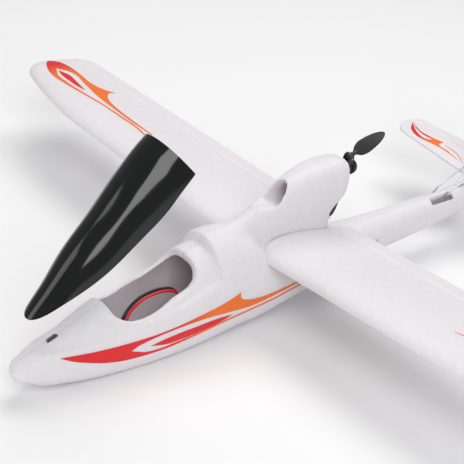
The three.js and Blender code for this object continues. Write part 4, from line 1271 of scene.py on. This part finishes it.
@dataclass
class UpperFilms:
    """Red and orange flashes on the upper skins of the wings and of the tailplane."""

    wing: WingShape
    tail: Tail
    on_wing: tuple[float, float] = (0.2, 0.05)
    on_tail: tuple[float, float] = (0.15, 0.03)

    def wing_height(self, x: Array, y: Array) -> Array:
        """Height of the wing's upper skin."""
        return self.wing.heights(x, y)[0]

    def tail_height(self, x: Array, y: Array) -> Array:
        """Height of the tailplane's upper skin, which is flat."""
        return self.tail.stab_z + self.tail.half_thick + 0 * y

    def build(self, finishes: dict[str, bpy.types.Material]) -> None:
        """Lays the flashes on both sides."""
        wing = joined([band.slab(self.wing_height, *self.on_wing) for band in WING_BANDS])
        spear = WING_SPEAR.slab(self.wing_height, *self.on_wing)
        tail = joined([band.slab(self.tail_height, *self.on_tail) for band in TAIL_BANDS])
        flashes = (("wing_flash", wing, "wing_film"), ("wing_spear", spear, "red_film"),
                   ("tail_flash", tail, "tail_film"))
        for side in Side:
            for name, shape, film in flashes:
                word = side.name.lower()
                make_piece(f"{name}_{word}", on_side(shape, side), finishes[film], "airframe")


# ---- propeller -------------------------------------------------------------------------------
@dataclass
class Propeller:
    """Two folding blades on a slotted yoke, with a domed nut.

    A blade section is an ellipse of the local chord and thickness, turned by the local twist; the yoke and
    the blade knuckles are rounded fields.
    """

    hub: tuple[float, float, float] = (0.0, 163.5, 112.0)
    tilt: float = math.radians(9.7)
    fold: float = math.radians(66)
    pin_at: float = 10.5
    table: Array = field(default_factory=lambda: np.array([
        [3.2, 3.4, 0, 3.2], [6, 4.2, 12, 2.6], [9.5, 9.5, 27, 1.9], [14, 12.6, 25, 1.6],
        [20, 13, 21, 1.4],
        [27, 11.6, 17, 1.2], [34, 8.2, 14, 1.0], [37.5, 4.8, 12, 0.9], [39.5, 1.6, 11, 0.8]], float))
    nut: Array = field(default_factory=lambda: np.array([
        [1.5, 3.35], [6.2, 3.35], [6.6, 3.7], [6.6, 4.4], [6.25, 4.6], [6.25, 4.9], [6.5, 5.2],
        [6.3, 6.4], [5.7, 7.8], [4.6, 9.1], [3.0, 10.0], [1.4, 10.45], [0.3, 10.55]]))
    pin_hole: float = 0.95
    shaft_hole: float = 1.3

    def placed(self, points: Array) -> Array:
        """Points of the hub's own frame turned about the shaft and moved to the hub."""
        c, s = math.cos(self.tilt), math.sin(self.tilt)
        x, y, z = points.T
        return np.stack([c * x + s * z, y, -s * x + c * z], -1) + np.array(self.hub)

    def blade(self, upper: bool) -> tuple[Array, Array]:
        """One blade from its pin outwards, as a field.

        Its table gives a chord, a twist and a thickness for each distance from the pin. A section is an
        ellipse of the chord and the thickness, turned by the twist and bowed by the square of the share
        of the chord; it runs softly into a bored knuckle.

        Args:
            upper: True for the folded upper blade, False for the hanging lower one.

        Returns:
            Points and quads in the model's place.
        """
        grid = Lattice(np.arange(-7.2, 7.3, 0.27), np.arange(-4.2, 4.3, 0.27), np.arange(-3.0, 40.6, 0.3))
        X, Y, Z = grid.mesh
        chord, twist, thick = (v[None, None, :] for v in through(self.table, grid.zs).T)
        turn = np.radians(twist)
        u = X * np.cos(turn) + Y * np.sin(turn)
        v = Y * np.cos(turn) - X * np.sin(turn)
        bow = smooth((Z - 6) / 8)
        v = v - 0.5 + 2.0 * (u / np.maximum(chord, 1)) ** 2 * bow
        measure = np.sqrt((2 * u / chord) ** 2 + (2 * (v + 0.5 * (1 - bow)) / thick) ** 2)
        reach = np.sqrt(u**2 + v**2)
        raw = grid.even(reach - reach / np.maximum(measure, NEAR_ZERO))
        paddle = soft_max(soft_max(raw, self.table[0, 0] - Z, 0.4), Z - self.table[-1, 0], 1.0)
        knuckle = grid.rod(0, (0, 0, 0), 2.3, (-1.5, 1.5))
        neck = grid.block((-1.5, 1.5), (-1.6, 1.6), (0, 4.4))
        whole = soft_min(soft_min(knuckle, neck, 0.8), paddle, 1.2)
        points, quads = grid.skin(soft_max(whole, -grid.rod(0, (0, 0, 0), self.pin_hole, (-5, 5)), 0.3))
        if upper:
            points = turned_about_x(points, -self.fold, 0, 0) + np.array([0, 0, self.pin_at])
        else:
            points = points * np.array([-1, 1, -1]) - np.array([0, 0, self.pin_at])
        return self.placed(points), quads

    def yoke(self) -> tuple[Array, Array]:
        """Bored hub with a slotted ear at each end, all its edges rounded."""
        grid = Lattice(np.arange(-7, 7.1, 0.3), np.arange(-4.5, 5.1, 0.3), np.arange(-15, 15.1, 0.3))
        reach = self.pin_at + 2.6
        boss, bar = grid.rod(1, (0, 0, 0), 5.0, (-3, 3)), grid.block((-3.6, 3.6), (-3, 3), (-reach, reach))
        body = soft_min(boss, bar, 1.5)
        ears = grid.block((-9, 9), (-9, 9), (-self.pin_at, self.pin_at))
        for end in (self.pin_at, -self.pin_at):
            ears = np.minimum(ears, grid.rod(0, (0, 0, end), 3.0, (-9, 9)))
        body = soft_max(body, ears, 0.6)
        for sign in (1, -1):
            body = soft_max(body, -grid.block((-1.9, 1.9), (-5, 5), sorted((sign * 5.6, sign * 20))), 0.5)
            body = soft_max(body, -grid.rod(0, (0, 0, sign * self.pin_at), self.pin_hole, (-8, 8)), 0.3)
        points, quads = grid.skin(soft_max(body, -grid.rod(1, (0, 0, 0), self.shaft_hole, (-6, 6)), 0.3))
        return self.placed(points), quads

    def spinner(self) -> tuple[Array, list[Array]]:
        """Domed nut: a profile turned about the shaft, with a ring groove near its foot."""
        angle = np.linspace(0, 2 * np.pi, 64, endpoint=False)
        r, y = self.nut[:, :1], self.nut[:, 1:]
        rings = np.stack([r * np.cos(angle), y + 0 * angle, r * np.sin(angle)], -1)
        points, faces = closed_loft(rings)
        return self.placed(points), turned_out(points, faces)

    def build(self, nylon: bpy.types.Material) -> None:
        """Makes the yoke, the nut and both blades."""
        points, quads = self.blade(False)
        lower = points, turned_out(points, [quads])
        for name, shape, body, node in (
                ("propeller_yoke", self.yoke(), "propeller", "prop_yoke"),
                ("propeller_nut", self.spinner(), "propeller", "prop_spinner"),
                ("propeller_blade_upper", self.blade(True), "blade_upper", "blade_upper"),
                ("propeller_blade_lower", lower, "blade_lower", "blade_lower")):
            make_piece(name, shape, nylon, body, [node])


# ---- battery leads ---------------------------------------------------------------------------
@dataclass
class BatteryLeads:
    """The red and the black lead, side by side in one arch from the battery to the plug under the ledge."""

    diameter: float = 2.4
    apart: float = 3.2
    route: Array = field(default_factory=lambda: np.array([
        [5, -69, 20], [8, -66, 24], [11.5, -66, 34], [13, -65, 44], [11.6, -59, 51], [9.6, -49, 55.6],
        [8.4, -38, 57],
        [8.2, -27, 56.6], [9, -18, 54.4], [10, -12, 49], [10, -7, 42], [8, -4, 35]], float))

    def line(self, offset: float, lift: float) -> Array:
        """Smooth line through the route's points, moved sideways and, over its arch, up.

        Between two points the line is a cubic whose end slopes come from the neighbours, with each stretch
        timed by the square root of its length.
        """
        points = self.route + np.array([offset, 0, 0])
        points[3:10, 2] += lift
        padded = np.vstack([2 * points[0] - points[1], points, 2 * points[-1] - points[-2]])
        time = np.concatenate([[0], np.cumsum(np.sqrt(np.linalg.norm(np.diff(padded, axis=0), axis=1)))])
        i = np.repeat(np.arange(1, len(padded) - 2), 24)
        share = np.tile(np.linspace(0, 1, 24, endpoint=False), len(points) - 1)
        i, share = np.append(i, len(padded) - 3), np.append(share, 1.0)
        p0, p1, p2, p3 = (padded[i + n] for n in (-1, 0, 1, 2))
        t0, t1, t2, t3 = (time[i + n][:, None] for n in (-1, 0, 1, 2))
        gap = t2 - t1
        m1 = gap * ((p1 - p0) / (t1 - t0) - (p2 - p0) / (t2 - t0) + (p2 - p1) / gap)
        m2 = gap * ((p2 - p1) / gap - (p3 - p1) / (t3 - t1) + (p3 - p2) / (t3 - t2))
        s = share[:, None]
        fine = ((2 * s**3 - 3 * s**2 + 1) * p1 + (s**3 - 2 * s**2 + s) * m1
                + (3 * s**2 - 2 * s**3) * p2 + (s**3 - s**2) * m2)
        run = np.concatenate([[0], np.cumsum(np.linalg.norm(np.diff(fine, axis=0), axis=1))])
        even = np.linspace(0, run[-1], 72)
        return np.stack([np.interp(even, run, fine[:, n]) for n in range(3)], -1)

    def build(self, finishes: dict[str, bpy.types.Material]) -> None:
        for colour, sign, lift in (("red", 0.5, 0.0), ("black", -0.5, 0.4)):
            path = self.line(sign * self.apart, lift)
            silicone = f"lead_{colour}_silicone"
            piece = make_piece(f"lead_{colour}", tube(path, self.diameter / 2, 20), finishes[silicone],
                               "airframe", [f"battery_lead_{colour}"])


# ---- carried-over nodes ----------------------------------------------------------------------
NODE_FINISH = {
    "carbon_rod": ["wing_joiner_rod"],
    "steel_wire": ["motor_shaft", "blade_pin_upper", "blade_pin_lower", "elevator_pushrod",
                   "rudder_pushrod"],
    "motor_alloy": ["motor_can"],
    "satin_black_plastic": ["motor_mount", "receiver_unit"],
    "servo_blue_plastic": ["elevator_servo", "rudder_servo"],
    "white_nylon": ["elevator_horn", "rudder_horn", "elevator_servo_arm", "rudder_servo_arm"],
    "tray_plywood": ["servo_tray"],
    "controller_wrap": ["speed_controller"],
    "battery_wrap": ["battery_pack"],
    "plug_red_nylon": ["battery_plug"],
    "canopy_gloss_black": ["canopy_tongue"],
}


def dress_nodes(finishes: dict[str, bpy.types.Material]) -> None:
    """Gives each node that stays its finish."""
    for finish, node in ((finish, node) for finish, nodes in NODE_FINISH.items() for node in nodes):
        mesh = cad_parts[node].data
        mesh.materials.clear()
        mesh.materials.append(finishes[finish])
        log.info("%s: %s", node, finish)


# ---- studio ----------------------------------------------------------------------------------
@dataclass(frozen=True)
class SoftLight:
    """Soft rectangular light aimed at the model: its place and size in metres, and its watts."""

    name: str
    place: tuple[float, float, float]
    size: tuple[float, float]
    watts: float


@dataclass
class Studio:
    """Pale floor, soft lights and the camera, which looks down on the nose from the pilot's left."""

    target: tuple[float, float, float] = (0.0, 70.0, 58.5)
    azimuth: float = 44.416
    elevation: float = 29.012
    roll: float = 8.24
    distance: float = 978.471
    focal: float = 95.755
    shift: tuple[float, float] = (-0.0442, 0.0419)
    floor_drop: float = 0.3
    floor_half: float = 12000.0
    sky: float = 0.32
    lights: tuple[SoftLight, ...] = (
        SoftLight("key", (-0.4, 0.8, 1.8), (1.6, 1.2), 20),
        SoftLight("front_fill", (1.5, -0.9, 1.5), (1.3, 1.3), 24),
        SoftLight("nose_fill", (-0.9, -1.8, 1.0), (0.9, 0.9), 5))

    def camera(self) -> None:
        """Camera at the stated angles, rolled about its own line of sight."""
        a, e, r = (math.radians(v) for v in (self.azimuth, self.elevation, self.roll))
        back = np.array([math.sin(a) * math.cos(e), -math.cos(a) * math.cos(e), math.sin(e)])
        right = np.array([math.cos(a), math.sin(a), 0.0])
        up = np.cross(back, right)
        level, upright = math.cos(r) * right + math.sin(r) * up, -math.sin(r) * right + math.cos(r) * up
        axes = np.column_stack([level, upright, back])
        data = bpy.data.cameras.new("camera")
        data.lens = self.focal
        data.shift_x, data.shift_y = self.shift
        data.clip_start, data.clip_end = 0.05, 30
        camera = bpy.data.objects.new("camera", data)
        place = (np.array(self.target) + back * self.distance) * MM
        matrix = np.eye(4)
        matrix[:3, :3], matrix[:3, 3] = axes, place
        camera.matrix_world = Matrix(matrix.tolist())
        bpy.context.scene.collection.objects.link(camera)
        bpy.context.scene.camera = camera

    def light(self, lamp: SoftLight) -> None:
        """Hangs a light and turns it to the camera's target."""
        data = bpy.data.lights.new(lamp.name, "AREA")
        data.shape = "RECTANGLE"
        data.size, data.size_y = lamp.size
        data.energy = lamp.watts
        made = bpy.data.objects.new(lamp.name, data)
        made.location = lamp.place
        aim = np.array(self.target) * MM - np.array(lamp.place)
        made.rotation_mode = "QUATERNION"
        made.rotation_quaternion = Vector(aim.tolist()).to_track_quat("-Z", "Y")
        bpy.context.scene.collection.objects.link(made)

    def floor(self) -> None:
        """Wide pale floor just under the belly, with a little mottling."""
        corners = np.array([[-1, -1, 0], [1, -1, 0], [1, 1, 0], [-1, 1, 0]])
        points = corners * self.floor_half - np.array([0, 0, self.floor_drop])
        mesh = bpy.data.meshes.new("floor")
        mesh.from_pydata((points * MM).tolist(), [], [(0, 1, 2, 3)])
        card = Finish("floor_card", Tint.FLOOR, roughness=0.9, grain_scale=3.0, grain_height=0.0,
                      stray=0.004)
        mesh.materials.append(card.build())
        floor = bpy.data.objects.new("floor", mesh)
        bpy.context.scene.collection.objects.link(floor)

    def build(self) -> None:
        """Sets up the whole studio."""
        self.camera()
        self.floor()
        world = bpy.data.worlds.new("studio")
        world.use_nodes = True
        background = world.node_tree.nodes["Background"]
        background.inputs["Color"].default_value = (1.0, 1.0, 1.0, 1.0)
        background.inputs["Strength"].default_value = self.sky
        bpy.context.scene.world = world
        for lamp in self.lights:
            self.light(lamp)
        bpy.context.scene.view_settings.view_transform = "Standard"


def main() -> None:
    """Builds the model piece by piece."""
    logging.basicConfig(level=logging.INFO, format="%(name)s %(message)s")
    finishes = {name: finish.build() for name, finish in FINISHES.items()}
    Studio().build()
    BatteryLeads().build(finishes)
    shape, wing = FuselageShape(), WingShape()
    Fuselage(shape, wing).build(finishes["foam_white"])
    panel = wing.panel()
    for side in Side:
        word = side.name.lower()
        make_piece(f"wing_{word}_foam", on_side(panel, side), finishes["foam_white"], "airframe",
                   [f"wing_{word}_panel"])
    tail = Tail()
    tail.build(finishes["foam_white"])
    Canopy(shape).build(finishes["canopy_gloss_black"])
    SideFilms(shape).build(finishes["side_film"], finishes["red_film"])
    UpperFilms(wing, tail).build(finishes)
    Propeller().build(finishes["propeller_black_nylon"])
    dress_nodes(finishes)


if __name__ == "__main__":
    main()
